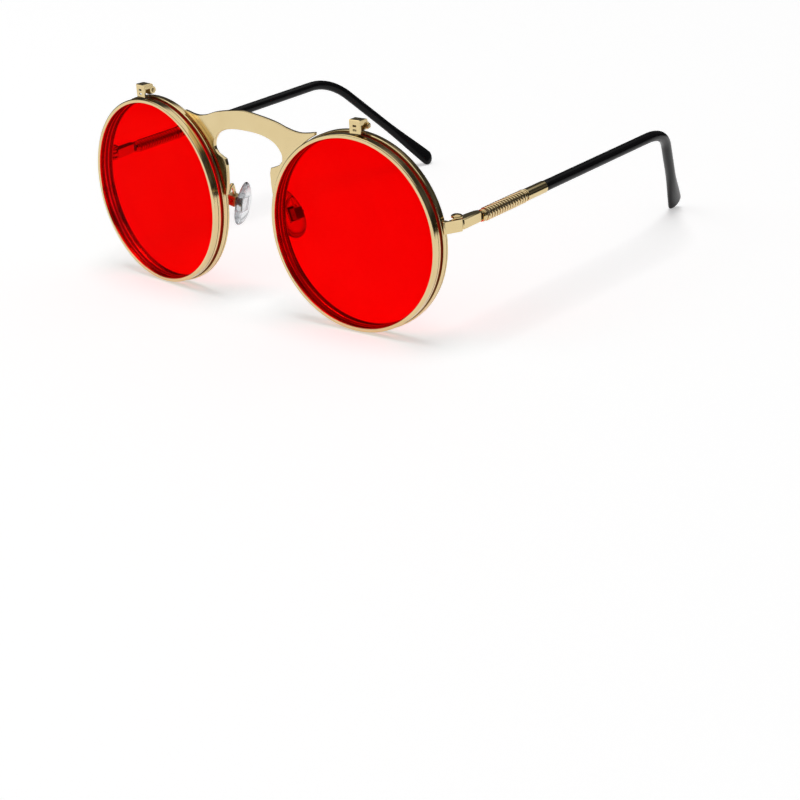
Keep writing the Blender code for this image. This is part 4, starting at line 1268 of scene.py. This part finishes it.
@dataclass
class FlipHinge:
    """The hinge on a fixed rim: a post, a folded hood with a leaf inside, and a slotted pin."""

    knuckle_width: float = 1.3 * MM
    ear_width: float = 0.8 * MM
    cheek_inset: float = 0.08 * MM
    hood_top: float = 1.85 * MM
    hood_back: float = 0.35 * MM
    hood_front: float = 3.0 * MM
    hood_curl: float = 0.9 * MM
    sheet: float = 0.32 * MM
    cheek_opening_y: Span = (-2.5 * MM, -1.0 * MM)
    cheek_opening_z: Span = (-1.2 * MM, 0.5 * MM)
    fold_y: Span = (-2.55 * MM, -1.05 * MM)
    fold_z: Span = (-0.8 * MM, 1.0 * MM)
    fold_half_width: float = 0.78 * MM
    pin_radius: float = 0.3 * MM
    head_radius: float = 0.7 * MM
    head_height: float = 0.4 * MM
    slot_width: float = 0.26 * MM
    slot_depth: float = 0.24 * MM
    fold_radius: float = 0.06 * MM
    curl_steps: int = 160
    head_steps: int = 6
    steps: int = 40

    def build(self, shop: Workshop, places: Places) -> None:
        """Models the hinge's pieces of one half.

        Args:
            shop: What dresses the pieces.
            places: The half's frames.
        """
        side = places.side.value
        post = shop.eased(f"flip_base_{side}", "post", self.fold_radius)
        # The post is painted shade gold all over, for the shadow under the hood.
        shop.dress(post, "frame", PAINTED_SHADE_GOLD, f"flip_base_{side}", smooth_below=50)
        self._hood(shop, places)
        shop.refinish(f"flip_spring_{side}", SPRING_STEEL)
        self._pin(shop, places)

    def _hood(self, shop: Workshop, places: Places) -> None:
        """The folded hood, whose top curls down over the knuckle, with painted shade inside.

        Args:
            shop: What dresses the pieces.
            places: The half's frames.
        """
        side = places.side.value
        hood = copied(f"flip_hood_{side}_folded", shop.nodes[f"flip_hood_{side}"])
        reach = self.knuckle_width + self.ear_width + OVERRUN
        middle = (self.hood_back - self.hood_curl, self.hood_top - self.hood_curl)
        beyond = (reach, self.hood_back + OVERRUN, self.hood_top + OVERRUN)
        corner = bar("corner", (-reach, *middle), beyond)
        deselect()
        bpy.ops.mesh.primitive_cylinder_add(
            vertices=self.curl_steps,
            radius=self.hood_curl,
            depth=2 * (reach + OVERRUN),
            location=(0, *middle),
            rotation=(0, QUARTER, 0),
        )
        roll = bpy.context.object
        bpy.ops.object.transform_apply(location=True, rotation=True, scale=True)
        cut(hood, placed(cut(corner, roll), places.flip))
        opening_low = (-reach, self.cheek_opening_y[0], self.cheek_opening_z[0])
        opening_high = (reach, self.cheek_opening_y[1], self.cheek_opening_z[1])
        cut(hood, placed(bar("opening", opening_low, opening_high), places.flip))
        rounded(hood, self.fold_radius)
        # The fold block fills the hood below the leaf. It and the faces inside the hood take
        # painted shade.
        fold_low = (-self.fold_half_width, self.fold_y[0], self.fold_z[0])
        fold_high = (self.fold_half_width, self.fold_y[1], self.fold_z[1])
        fold = placed(rounded(bar("fold", fold_low, fold_high), 2 * self.fold_radius), places.flip)
        pick(hood)
        fold.select_set(True)
        bpy.ops.object.join()
        to_flip = places.flip.inverted()
        inner = self.knuckle_width / 2 + GAP + WELD

        def inside(face: bpy.types.MeshPolygon) -> bool:
            """True for the faces inside the fold and in its windows.

            Args:
                face: A face of the hood.

            Returns:
                Whether it gets the painted shade gold.
            """
            at = to_flip @ face.center
            deep = at.y > self.fold_radius * 2 - self.hood_front
            return abs(at.x) < inner and deep and at.z < self.hood_top - self.sheet + WELD

        shop.dress(
            hood,
            f"flip_{side}",
            PALE_GOLD,
            f"flip_hood_{side}",
            smooth_below=32,
            accents=[(PAINTED_SHADE_GOLD, inside)],
        )

    def _pin(self, shop: Workshop, places: Places) -> None:
        """The pin, with a domed and slotted head on the outer ear.

        Args:
            shop: What dresses the pieces.
            places: The half's frames.
        """
        side = places.side.value
        outer = self.knuckle_width / 2 + GAP + self.ear_width
        low = outer + self.cheek_inset + GAP
        top = low + self.head_height
        edge = self.head_height / 2
        profile = [
            (0, top),
            *arc((self.head_radius - edge, top - edge), edge, 90, 0, self.head_steps),
            (self.head_radius, low),
            (self.pin_radius, low),
            (self.pin_radius, -outer - GAP),
            (0, -outer - GAP),
        ]
        pin = turned(f"flip_pin_{side}_slotted", profile, self.steps)
        slotted(pin, top, self.head_radius, self.slot_width, self.slot_depth)
        placed(pin, places.flip @ FACE_OUTWARD)
        shop.dress(pin, f"flip_{side}", SCREW_GOLD, f"flip_pin_{side}")


@dataclass
class EndPiece:
    """The end piece soldered to the fixed rim, and the domed screw of the temple hinge."""

    height: float = 3.2 * MM
    edge_radius: float = 0.07 * MM
    ahead_share: float = 0.8
    head_radius: float = 1.5 * MM
    head_height: float = 0.9 * MM
    head_rim: float = 0.3 * MM
    shaft_radius: float = 0.3 * MM
    slot_width: float = 0.32 * MM
    slot_depth: float = 0.32 * MM
    crown_steps: int = 12
    steps: int = 56

    def build(self, shop: Workshop, places: Places) -> None:
        """Models the end piece and its screw.

        Args:
            shop: What dresses the pieces.
            places: The half's frames.
        """
        side = places.side.value
        body = shop.eased(f"end_piece_{side}", "stamped", self.edge_radius)
        sign = -1 if places.side.other else 1

        def ahead(face: bpy.types.MeshPolygon) -> bool:
            """True for the faces that look straight ahead."""
            return face.normal.y < -self.ahead_share and sign * face.normal.x < 1 - self.ahead_share

        # Painted shade on the end piece's faces that look straight ahead.
        shop.dress(
            body,
            "frame",
            PALE_GOLD,
            f"end_piece_{side}",
            smooth_below=40,
            accents=[(PAINTED_SHADE_GOLD, ahead)],
        )
        self._screw(shop, places)

    def _screw(self, shop: Workshop, places: Places) -> None:
        """The temple hinge's screw, with a domed and slotted head.

        Args:
            shop: What dresses the pieces.
            places: The half's frames.
        """
        side = places.side.value
        low = self.height / 2 + GAP
        top, rim = low + self.head_height, low + self.head_rim
        crown = arc((0, 0), 1, 90, 0, self.crown_steps)
        profile = [
            *((self.head_radius * x, rim + (top - rim) * z) for x, z in crown),
            (self.head_radius, low),
            (self.shaft_radius, low),
            (self.shaft_radius, -self.height / 2),
            (0, -self.height / 2),
        ]
        screw = turned(f"hinge_screw_{side}_domed", profile, self.steps)
        slotted(screw, top, self.head_radius, self.slot_width, self.slot_depth)
        placed(screw, places.hinge)
        shop.dress(screw, "frame", SCREW_GOLD, f"hinge_screw_{side}")


@dataclass
class Temple:
    """A temple: the block, collar, coil spring, ferrule and the black sleeve down to its tip."""

    out: float = 0.7 * MM
    drop: float = 0.3 * MM
    pitch: float = math.radians(1.6)
    block_length: float = 8.1 * MM
    block_edge: float = 0.08 * MM
    collar_length: float = 1.4 * MM
    collar_radius: float = 1.6 * MM
    collar_waist: float = 0.17 * MM
    bead_share: float = 0.25
    bead_spacing: float = 1.25
    beads_length: float = 2.4
    bead_steps: int = 8
    bore_radius: float = 1.1 * MM
    coil_wire: float = 0.62 * MM
    coil_radius: float = 1.8 * MM
    coil_pitch: float = 1.05 * MM
    closed_share: float = 1.05
    coil_turns: int = 15
    coil_steps: int = 28
    coil_sides: int = 3
    ferrule_length: float = 8.3 * MM
    ferrule_radius: float = 1.65 * MM
    core_end_in_ferrule: float = 3.0 * MM
    spigot_radius: float = 0.85 * MM
    spigot_gap: float = 0.5 * MM
    sleeve_radius: float = 1.48 * MM
    sleeve_edge: float = 0.2 * MM
    edge_steps: int = 5
    straight: float = 85.53 * MM
    bend_radius: float = 19.0 * MM
    bend_angle: float = math.radians(49.71)
    bend_inward: float = math.radians(24.69)
    tip_run: float = 39.82 * MM
    paddle_length: float = 24.0 * MM
    paddle_half_width: float = 2.75 * MM
    paddle_half_thickness: float = 1.05 * MM
    tip_rounding: float = 2.4 * MM
    dome_steps: int = 9
    body_steps: int = 70
    bend_steps: int = 48
    steps: int = 48

    def __post_init__(self) -> None:
        """Works out where each piece starts, from the hinge axis backward."""
        self.collar_at = self.block_length + GAP
        self.coil_at = self.collar_at + self.collar_length + GAP
        self.coil_end = self.coil_at + self.coil_turns * self.coil_pitch + 2 * self.coil_wire
        self.ferrule_at = self.coil_end + GAP
        self.ferrule_end = self.ferrule_at + self.ferrule_length

    def build(self, shop: Workshop, places: Places) -> None:
        """Models one temple.

        Args:
            shop: What dresses the pieces.
            places: The half's frames.
        """
        side = places.side.value
        body = f"temple_{side}"
        line = places.temple @ Matrix.Translation((self.out, 0, -self.drop))
        line = line @ Matrix.Rotation(self.pitch - QUARTER, 4, "X")
        block = shop.eased(f"temple_block_{side}", "milled", self.block_edge)
        shop.dress(block, body, PALE_GOLD, f"temple_block_{side}", smooth_below=40)
        shop.refinish(f"temple_core_{side}", SPRING_STEEL)
        collar = turned(f"temple_collar_{side}_beaded", self.collar_section(), self.steps, True)
        placed(collar, line)
        shop.dress(collar, body, PALE_GOLD, f"temple_collar_{side}", smooth_below=50)
        half_wire = self.coil_wire / 2
        coil = wire(f"coil_spring_{side}_wound", self.coil_line(), half_wire, self.coil_sides)
        placed(coil, line)
        shop.dress(coil, body, SPRING_GOLD, f"coil_spring_{side}", smooth_below=60)
        ferrule = turned(f"ferrule_{side}_turned", self.ferrule_section(), self.steps, True)
        placed(ferrule, line)
        shop.dress(ferrule, body, PALE_GOLD, f"ferrule_{side}")
        sleeve = self.straight_sleeve(f"temple_sleeve_{side}_moulded")
        placed(sleeve, self.sleeve_place(places))
        shop.dress(sleeve, body, BLACK_SLEEVE, f"temple_sleeve_{side}", smooth_below=60)

    def collar_section(self) -> list[Span]:
        """The collar: two rounded beads with a waist between and in front of them.

        Returns:
            The section's (radius, height) pairs.
        """
        end = self.collar_at + self.collar_length
        bead = self.collar_length * self.bead_share
        centre_out = self.collar_radius - bead / 2
        waist = self.collar_radius - self.collar_waist
        beads = [
            arc((centre_out, end - bead / 2 - shift), bead / 2, 90, -90, self.bead_steps)
            for shift in (0, bead * self.bead_spacing)
        ]
        return [
            (self.bore_radius, end),
            *beads[0],
            *beads[1],
            (waist, end - bead * self.beads_length),
            (waist, self.collar_at),
            (self.bore_radius, self.collar_at),
        ]

    def coil_line(self) -> list[Vector]:
        """The spring's line: open turns between two closed ones, one at each end.

        Returns:
            The line's points, wound about Z.
        """
        radius = self.coil_radius - self.coil_wire / 2
        closed = self.coil_wire * self.closed_share
        length = self.coil_end - self.coil_at - self.coil_wire
        pitch = (length - 2 * closed) / (self.coil_turns - 1)
        line = []
        for i in range((self.coil_turns + 1) * self.coil_steps + 1):
            turns = i / self.coil_steps
            at_start = min(turns, 1)
            at_end = max(turns - self.coil_turns, 0)
            along = closed * (at_start + at_end) + pitch * (turns - at_start - at_end)
            turn = FULL * turns
            height = self.coil_at + self.coil_wire / 2 + along
            line.append(Vector((radius * math.cos(turn), radius * math.sin(turn), height)))
        return line

    def ferrule_section(self) -> list[Span]:
        """The ferrule: a plain tube with rounded ends.

        Returns:
            The section's (radius, height) pairs.
        """
        edge = self.sleeve_edge
        outer = self.ferrule_radius - edge
        return [
            (self.bore_radius, self.ferrule_end),
            *arc((outer, self.ferrule_end - edge), edge, 90, 0, self.edge_steps),
            *arc((outer, self.ferrule_at + edge), edge, 0, -90, self.edge_steps),
            (self.bore_radius, self.ferrule_at),
        ]

    def sleeve_place(self, places: Places) -> Matrix:
        """The sleeve's frame: X along the temple, Y down the bend and Z across it.

        Args:
            places: The half's frames.

        Returns:
            The frame.
        """
        along = Vector((0, math.cos(self.pitch), math.sin(self.pitch)))
        down = Vector((0, math.sin(self.pitch), -math.cos(self.pitch)))
        inward = Vector((-1, 0, 0))
        drop = down * math.cos(self.bend_inward) + inward * math.sin(self.bend_inward)
        turn = Matrix((along, drop, along.cross(drop))).transposed().to_4x4()
        return places.temple @ Matrix.Translation((self.out, 0, -self.drop)) @ turn

    def paddle_share(self, left: float) -> float:
        """How far the round section has turned into the flat paddle, that far from the tip."""
        share = min(max(1 - left / self.paddle_length, 0), 1)
        return share * share * (3 - 2 * share)

    def straight_sleeve(self, name: str) -> bpy.types.Object:
        """The sleeve, turned straight, flattened at its tip and then bent along its line.

        Args:
            name: The new object's name.

        Returns:
            The sleeve, in its own frame.
        """
        start = self.ferrule_end + GAP
        total = self.straight + self.bend_radius * self.bend_angle + self.tip_run
        whole = total - self.tip_rounding
        radius, edge = self.sleeve_radius, self.sleeve_edge
        spigot_at = self.ferrule_at + self.core_end_in_ferrule + self.spigot_gap
        length = whole - start - edge
        run = [start + edge + length * i / self.body_steps for i in range(1, self.body_steps + 1)]
        dome = [QUARTER * i / self.dome_steps for i in range(self.dome_steps, 0, -1)]
        rise = self.tip_rounding
        profile = [
            *((radius * math.cos(turn), whole + rise * math.sin(turn)) for turn in dome),
            *((radius, along) for along in reversed(run)),
            *arc((radius - edge, start + edge), edge, 0, -90, self.edge_steps),
            (self.spigot_radius, start),
            (self.spigot_radius, spigot_at),
            (0, spigot_at),
        ]
        obj = placed(turned(name, profile, self.steps), FACE_OUTWARD)
        self._flatten(obj, total)
        return self._bent(obj)

    def _flatten(self, obj: bpy.types.Object, total: float) -> None:
        """Scales each ring of the tip to the paddle's width and thickness.

        Args:
            obj: The straight sleeve.
            total: How far its tip is from the hinge axis.
        """
        rings = sorted({round(vert.co.x, 7) for vert in obj.data.vertices})
        for along in rings:
            share = self.paddle_share(max(total - along, self.tip_rounding))
            if share <= 0 or along > total - WELD:
                continue
            width = 1 + (self.paddle_half_width / self.sleeve_radius - 1) * share
            thickness = 1 + (self.paddle_half_thickness / self.sleeve_radius - 1) * share
            select_in(obj, "VERT", lambda vert, x=along: abs(vert.co.x - x) < WELD)
            bpy.ops.transform.resize(value=(1, width, thickness), center_override=(along, 0, 0))
            bpy.ops.object.mode_set(mode="OBJECT")

    def _bent(self, obj: bpy.types.Object) -> bpy.types.Object:
        """Bends the straight sleeve along its line in the XY plane.

        Args:
            obj: The straight sleeve.

        Returns:
            The bent sleeve.
        """
        points = [Vector((0, 0, 0))]
        for i in range(self.bend_steps + 1):
            turn = self.bend_angle * i / self.bend_steps
            along = self.straight + self.bend_radius * math.sin(turn)
            points.append(Vector((along, self.bend_radius * (1 - math.cos(turn)), 0)))
        heading = Vector((math.cos(self.bend_angle), math.sin(self.bend_angle), 0))
        points.append(points[-1] + heading * (self.tip_run + OVERRUN))
        curve = bpy.data.curves.new("temple_line", "CURVE")
        curve.dimensions = "2D"
        spline = curve.splines.new("POLY")
        spline.points.add(len(points) - 1)
        for point, place in zip(spline.points, points):
            point.co = (*place, 1)
        path = bpy.data.objects.new("temple_line", curve)
        bpy.context.scene.collection.objects.link(path)
        modified(obj, "CURVE", object=path, deform_axis="POS_X")
        bpy.data.objects.remove(path, do_unlink=True)
        return close_up(obj)


@dataclass
class NosePad:
    """A nose pad: the clear teardrop with its metal core, the box and screw, and the wire arm."""

    pocket_half_width: float = 1.4 * MM
    pocket_half_length: float = 2.2 * MM
    pocket_floor: float = 0.05 * MM
    pocket_edge: float = 0.2 * MM
    pocket_segments: int = 4
    half_width: float = 3.5 * MM
    half_thickness: float = 1.5 * MM
    half_length: float = 6.6 * MM
    taper_share: float = 0.28
    box_gap: float = 0.45 * MM
    box_depth: float = 2.4 * MM
    box_wall: float = 0.45 * MM
    stem_half_width: float = 0.5 * MM
    stem_half_length: float = 0.8 * MM
    box_edge: float = 0.12 * MM
    core_edge: float = 0.08 * MM
    screw_radius: float = 0.25 * MM
    head_radius: float = 0.6 * MM
    head_height: float = 0.4 * MM
    head_steps: int = 5
    arm_radius: float = 0.5 * MM
    arm_sides: int = 6
    arm_steps: int = 12
    arm_foot_rise: float = 2.6 * MM
    arm_foot_in: float = 0.3 * MM
    arm_loop_rise: float = 2.0 * MM
    arm_loop_back: float = 2.3 * MM
    rim_radius: float = RIM_RADIUS
    rim_depth: float = RIM_DEPTH
    steps: int = 48

    def build(self, shop: Workshop, places: Places) -> None:
        """Models one pad and what carries it.

        Args:
            shop: What dresses the pieces.
            places: The half's frames.
        """
        side = places.side.value
        body = f"pad_{side}"
        shop.dress(self._pad(places), body, CLEAR_PAD, f"nose_pad_{side}", smooth_below=80)
        core = shop.eased(f"pad_core_{side}", "pressed", self.core_edge)
        shop.dress(core, body, CORE_METAL, f"pad_core_{side}")
        box = shop.eased(f"pad_box_{side}", "drawn", self.box_edge)
        shop.dress(box, "frame", BOX_GOLD, f"pad_box_{side}", smooth_below=50)
        self._screw(shop, places)
        arm = wire(f"pad_arm_{side}_bent", self._arm_line(places), self.arm_radius, self.arm_sides)
        placed(arm, places.front)
        shop.dress(arm, "frame", PALE_GOLD, f"pad_arm_{side}", smooth_below=60)

    def _pad(self, places: Places) -> bpy.types.Object:
        """The teardrop: a sphere drawn out, narrower at its top, with a pocket for its core.

        Args:
            places: The half's frames.

        Returns:
            The pad, in place.
        """
        deselect()
        rings = self.steps // 2
        bpy.ops.mesh.primitive_uv_sphere_add(segments=self.steps, ring_count=rings, radius=1)
        obj = bpy.context.object
        obj.name = f"nose_pad_{places.side.value}_clear"
        border = obj.data.attributes.new(BORDER, "FLOAT", "POINT")
        for vert in obj.data.vertices:
            across, through, upward = vert.co
            border.data[vert.index].value = math.hypot(across, upward)
            width = self.half_width * (1 - self.taper_share * upward)
            vert.co = (across * width, through * self.half_thickness, upward * self.half_length)
        low = (-self.pocket_half_width, -self.half_thickness - OVERRUN, -self.pocket_half_length)
        high = (self.pocket_half_width, self.pocket_floor, self.pocket_half_length)
        cut(obj, rounded(bar("pocket", low, high), self.pocket_edge, self.pocket_segments))
        ahead = self.half_thickness + self.box_gap + self.box_depth / 2
        return placed(obj, places.pad @ Matrix.Translation((0, ahead, 0)))

    def _screw(self, shop: Workshop, places: Places) -> None:
        """The small screw across the box.

        Args:
            shop: What dresses the pieces.
            places: The half's frames.
        """
        side = places.side.value
        half_box = self.stem_half_width + GAP + self.box_wall
        low = half_box + GAP
        edge = self.head_height / 2
        profile = [
            (0, low + self.head_height),
            *arc((self.head_radius - edge, low + edge), edge, 90, 0, self.head_steps),
            (self.head_radius, low),
            (self.screw_radius, low),
            (self.screw_radius, -half_box),
            (0, -half_box),
        ]
        screw = turned(f"pad_screw_{side}_domed", profile, self.steps // 2)
        placed(screw, places.pad @ FACE_OUTWARD)
        shop.dress(screw, "frame", SCREW_GOLD, f"pad_screw_{side}")

    def _arm_line(self, places: Places) -> list[Vector]:
        """The arm's line in the front's frame: from the rim, up and back, and down to the box.

        Args:
            places: The half's frames.

        Returns:
            The line's points.
        """
        to_front = places.front.inverted() @ places.pad
        half_box = self.stem_half_length + GAP + self.box_wall
        box_top = to_front @ Vector((0, 0, half_box + GAP))
        above_box = to_front @ Vector((0, 0, half_box + GAP + self.arm_radius))
        foot_radius = self.rim_radius - self.arm_foot_in - self.arm_radius
        foot_u = -math.sqrt(foot_radius**2 - self.arm_foot_rise**2)
        foot = Vector((foot_u, self.rim_depth + GAP, self.arm_foot_rise))
        behind = foot + Vector((0, self.arm_radius, 0))
        loop = foot + Vector((0, self.arm_loop_back, self.arm_loop_rise))
        loop.x = (foot.x + above_box.x) / 2
        return [foot, *smooth_run([behind, loop, above_box], self.arm_steps), box_top]


# Studio


@dataclass
class Studio:
    """A white floor in soft light. Mirrors see a white disc, dark walls and a white ceiling."""

    floor_half: float = 20.0
    floor_albedo: float = 0.8
    floor_glow: float = 0.435
    mirror_floor_centre: Span = (0.0, -0.25)
    mirror_floor_reach: Span = (0.3, 0.45)
    mirror_floor_fade: Span = (0.9, 1.3)
    mirror_floor_glow: float = 0.36
    mirror_floor_dark: Colour = rgba(0.02, 0.018, 0.015)
    seen_through_rise: Span = (0.2, 0.45)
    seen_through_level: Span = (1.0, 0.35)
    world_level: float = 0.22
    overhead_strength: float = 1.35
    overhead_angle: float = math.radians(34)
    front_place: tuple[float, float, float] = (-0.7, -0.9, 1.0)
    front_size: float = 0.9
    front_power: float = 2.0
    mirror_sky: Profile = (
        (0.1, 0.02),
        (0.24, 0.08),
        (0.42, 0.06),
        (0.5, 0.03),
        (0.62, 0.04),
        (0.72, 0.9),
    )

    def build(self) -> None:
        """Makes the floor, the world and the lamps."""
        self._floor()
        self._world()
        self._overhead()
        self._front_box()

    def _floor(self) -> None:
        """A white floor that keeps the object's shadow. In mirrors it darkens with distance."""
        deselect()
        bpy.ops.mesh.primitive_plane_add(size=2 * self.floor_half, location=(0, 0, 0))
        floor = bpy.context.object
        floor.name = "floor"
        material = bpy.data.materials.new("white_floor")
        tree = ShaderTree(material)
        camera, glossy, through = (tree.ray(kind) for kind in ("Camera", "Glossy", "Transmission"))
        reach_x, reach_y = self.mirror_floor_reach
        centre = tree.add(
            "ShaderNodeVectorMath",
            {"operation": "SUBTRACT"},
            {0: tree.place(), 1: (*self.mirror_floor_centre, 0)},
        )
        place = tree.stretched(centre, (1 / reach_x, 1 / reach_y, 1))
        away = tree.add("ShaderNodeVectorMath", {"operation": "LENGTH"}, {0: place}, output="Value")
        near = tree.ramped(away, self.mirror_floor_fade, (1.0, 0.0))
        seen = camera.highest(through) * self.floor_glow
        mirrored = glossy * near * self.mirror_floor_glow
        white = rgba(self.floor_albedo, self.floor_albedo, self.floor_albedo)
        shader = tree.add(
            "ShaderNodeBsdfPrincipled",
            {},
            {
                "Base Color": tree.mixed_colour(glossy * (1 - near), white, self.mirror_floor_dark),
                "Roughness": 1.0,
                "Specular IOR Level": 0.0,
                "Emission Color": rgba(1, 1, 1),
                "Emission Strength": seen.highest(mirrored),
            },
        )
        tree.finish(shader)
        floor.data.materials.append(material)

    def _world(self) -> None:
        """White to the camera, dark walls and a white ceiling in mirrors, soft light elsewhere."""
        world = bpy.data.worlds.new("studio")
        bpy.context.scene.world = world
        tree = ShaderTree(world)
        camera, glossy, through = (tree.ray(kind) for kind in ("Camera", "Glossy", "Transmission"))
        direction = tree.add("ShaderNodeTexCoord", output="Generated")
        height = tree.add("ShaderNodeSeparateXYZ", {}, {"Vector": direction}, output="Z")
        stops = [(rise, rgba(level, level, level)) for rise, level in self.mirror_sky]
        ceiling = tree.add("ShaderNodeValToRGB", {"stops": stops}, {"Fac": height})
        low_sky = tree.ramped(height, self.seen_through_rise, self.seen_through_level)
        soft = (1 - camera.highest(glossy).highest(through)) * self.world_level
        level = camera + glossy * ceiling + through * low_sky + soft
        sky = tree.add("ShaderNodeBackground", {}, {"Color": rgba(1, 1, 1), "Strength": level})
        tree.add("ShaderNodeOutputWorld", {}, {"Surface": sky})

    def _overhead(self) -> None:
        """A broad, even lamp straight above, which draws the rims' shadows right below them."""
        data = bpy.data.lights.new("overhead", "SUN")
        data.energy = self.overhead_strength
        data.angle = self.overhead_angle
        lamp = bpy.data.objects.new("overhead", data)
        bpy.context.scene.collection.objects.link(lamp)
        lamp.visible_glossy = False

    def _front_box(self) -> None:
        """A soft box that looks at the object from the front."""
        data = bpy.data.lights.new("front_box", "AREA")
        data.shape = "SQUARE"
        data.size = self.front_size
        data.energy = self.front_power
        lamp = bpy.data.objects.new("front_box", data)
        bpy.context.scene.collection.objects.link(lamp)
        turn = (-Vector(self.front_place)).to_track_quat("-Z", "Y").to_matrix().to_4x4()
        lamp.matrix_world = Matrix.Translation(self.front_place) @ turn


@dataclass
class PhotoCamera:
    """The photograph's camera, which looks at the glasses from the wearer's left front."""

    azimuth: float = math.radians(41.01)
    elevation: float = math.radians(23.351)
    roll: float = math.radians(-2.803)
    distance: float = 457.55 * MM
    focal_pixels: float = 1718.38
    frame_pixels: float = 800.0
    bridge_pixel: Span = (248.47, 212.37)
    sensor: float = 36.0
    nearest: float = 10.0 * MM

    def build(self, bridge_point: Vector) -> None:
        """Places the camera so that the point between the lenses lies at its pixel.

        Args:
            bridge_point: The point midway between the lens centres.
        """
        sin_a, cos_a = math.sin(self.azimuth), math.cos(self.azimuth)
        sin_e, cos_e = math.sin(self.elevation), math.cos(self.elevation)
        ahead = Vector((-sin_a * cos_e, cos_a * cos_e, -sin_e))
        level = Vector((cos_a, sin_a, 0))
        upward = level.cross(ahead)
        right = math.cos(self.roll) * level + math.sin(self.roll) * upward
        top = -math.sin(self.roll) * level + math.cos(self.roll) * upward
        half = self.frame_pixels / 2
        aside = (self.bridge_pixel[0] - half) * self.distance / self.focal_pixels
        above = (half - self.bridge_pixel[1]) * self.distance / self.focal_pixels
        place = bridge_point - aside * right - above * top - self.distance * ahead
        data = bpy.data.cameras.new("photo_camera")
        data.sensor_width = self.sensor
        data.lens = self.focal_pixels * self.sensor / self.frame_pixels
        data.clip_start = self.nearest
        camera = bpy.data.objects.new("photo_camera", data)
        bpy.context.scene.collection.objects.link(camera)
        turn = Matrix((right, top, -ahead)).transposed().to_4x4()
        camera.matrix_world = Matrix.Translation(place) @ turn
        bpy.context.scene.camera = camera


def main() -> None:
    """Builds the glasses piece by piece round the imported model, and the studio round them."""
    logging.basicConfig(level=logging.INFO, format="%(message)s")
    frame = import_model()
    bpy.context.scene.view_settings.view_transform = "Standard"
    shop = Workshop(frame)
    eyepieces, bridge = Eyepieces(), BridgePlate()
    halves = [Places.read(frame, side, eyepieces.rear_depth) for side in Side]
    left = halves[0]
    PhotoCamera().build(Vector((0, bridge.middle_y(left.front), left.front.translation.z)))
    Studio().build()
    bridge.build(shop, left)
    for places in halves:
        for assembly in (eyepieces, FlipHinge(), EndPiece(), Temple(), NosePad()):
            assembly.build(shop, places)


if __name__ == "__main__":
    main()
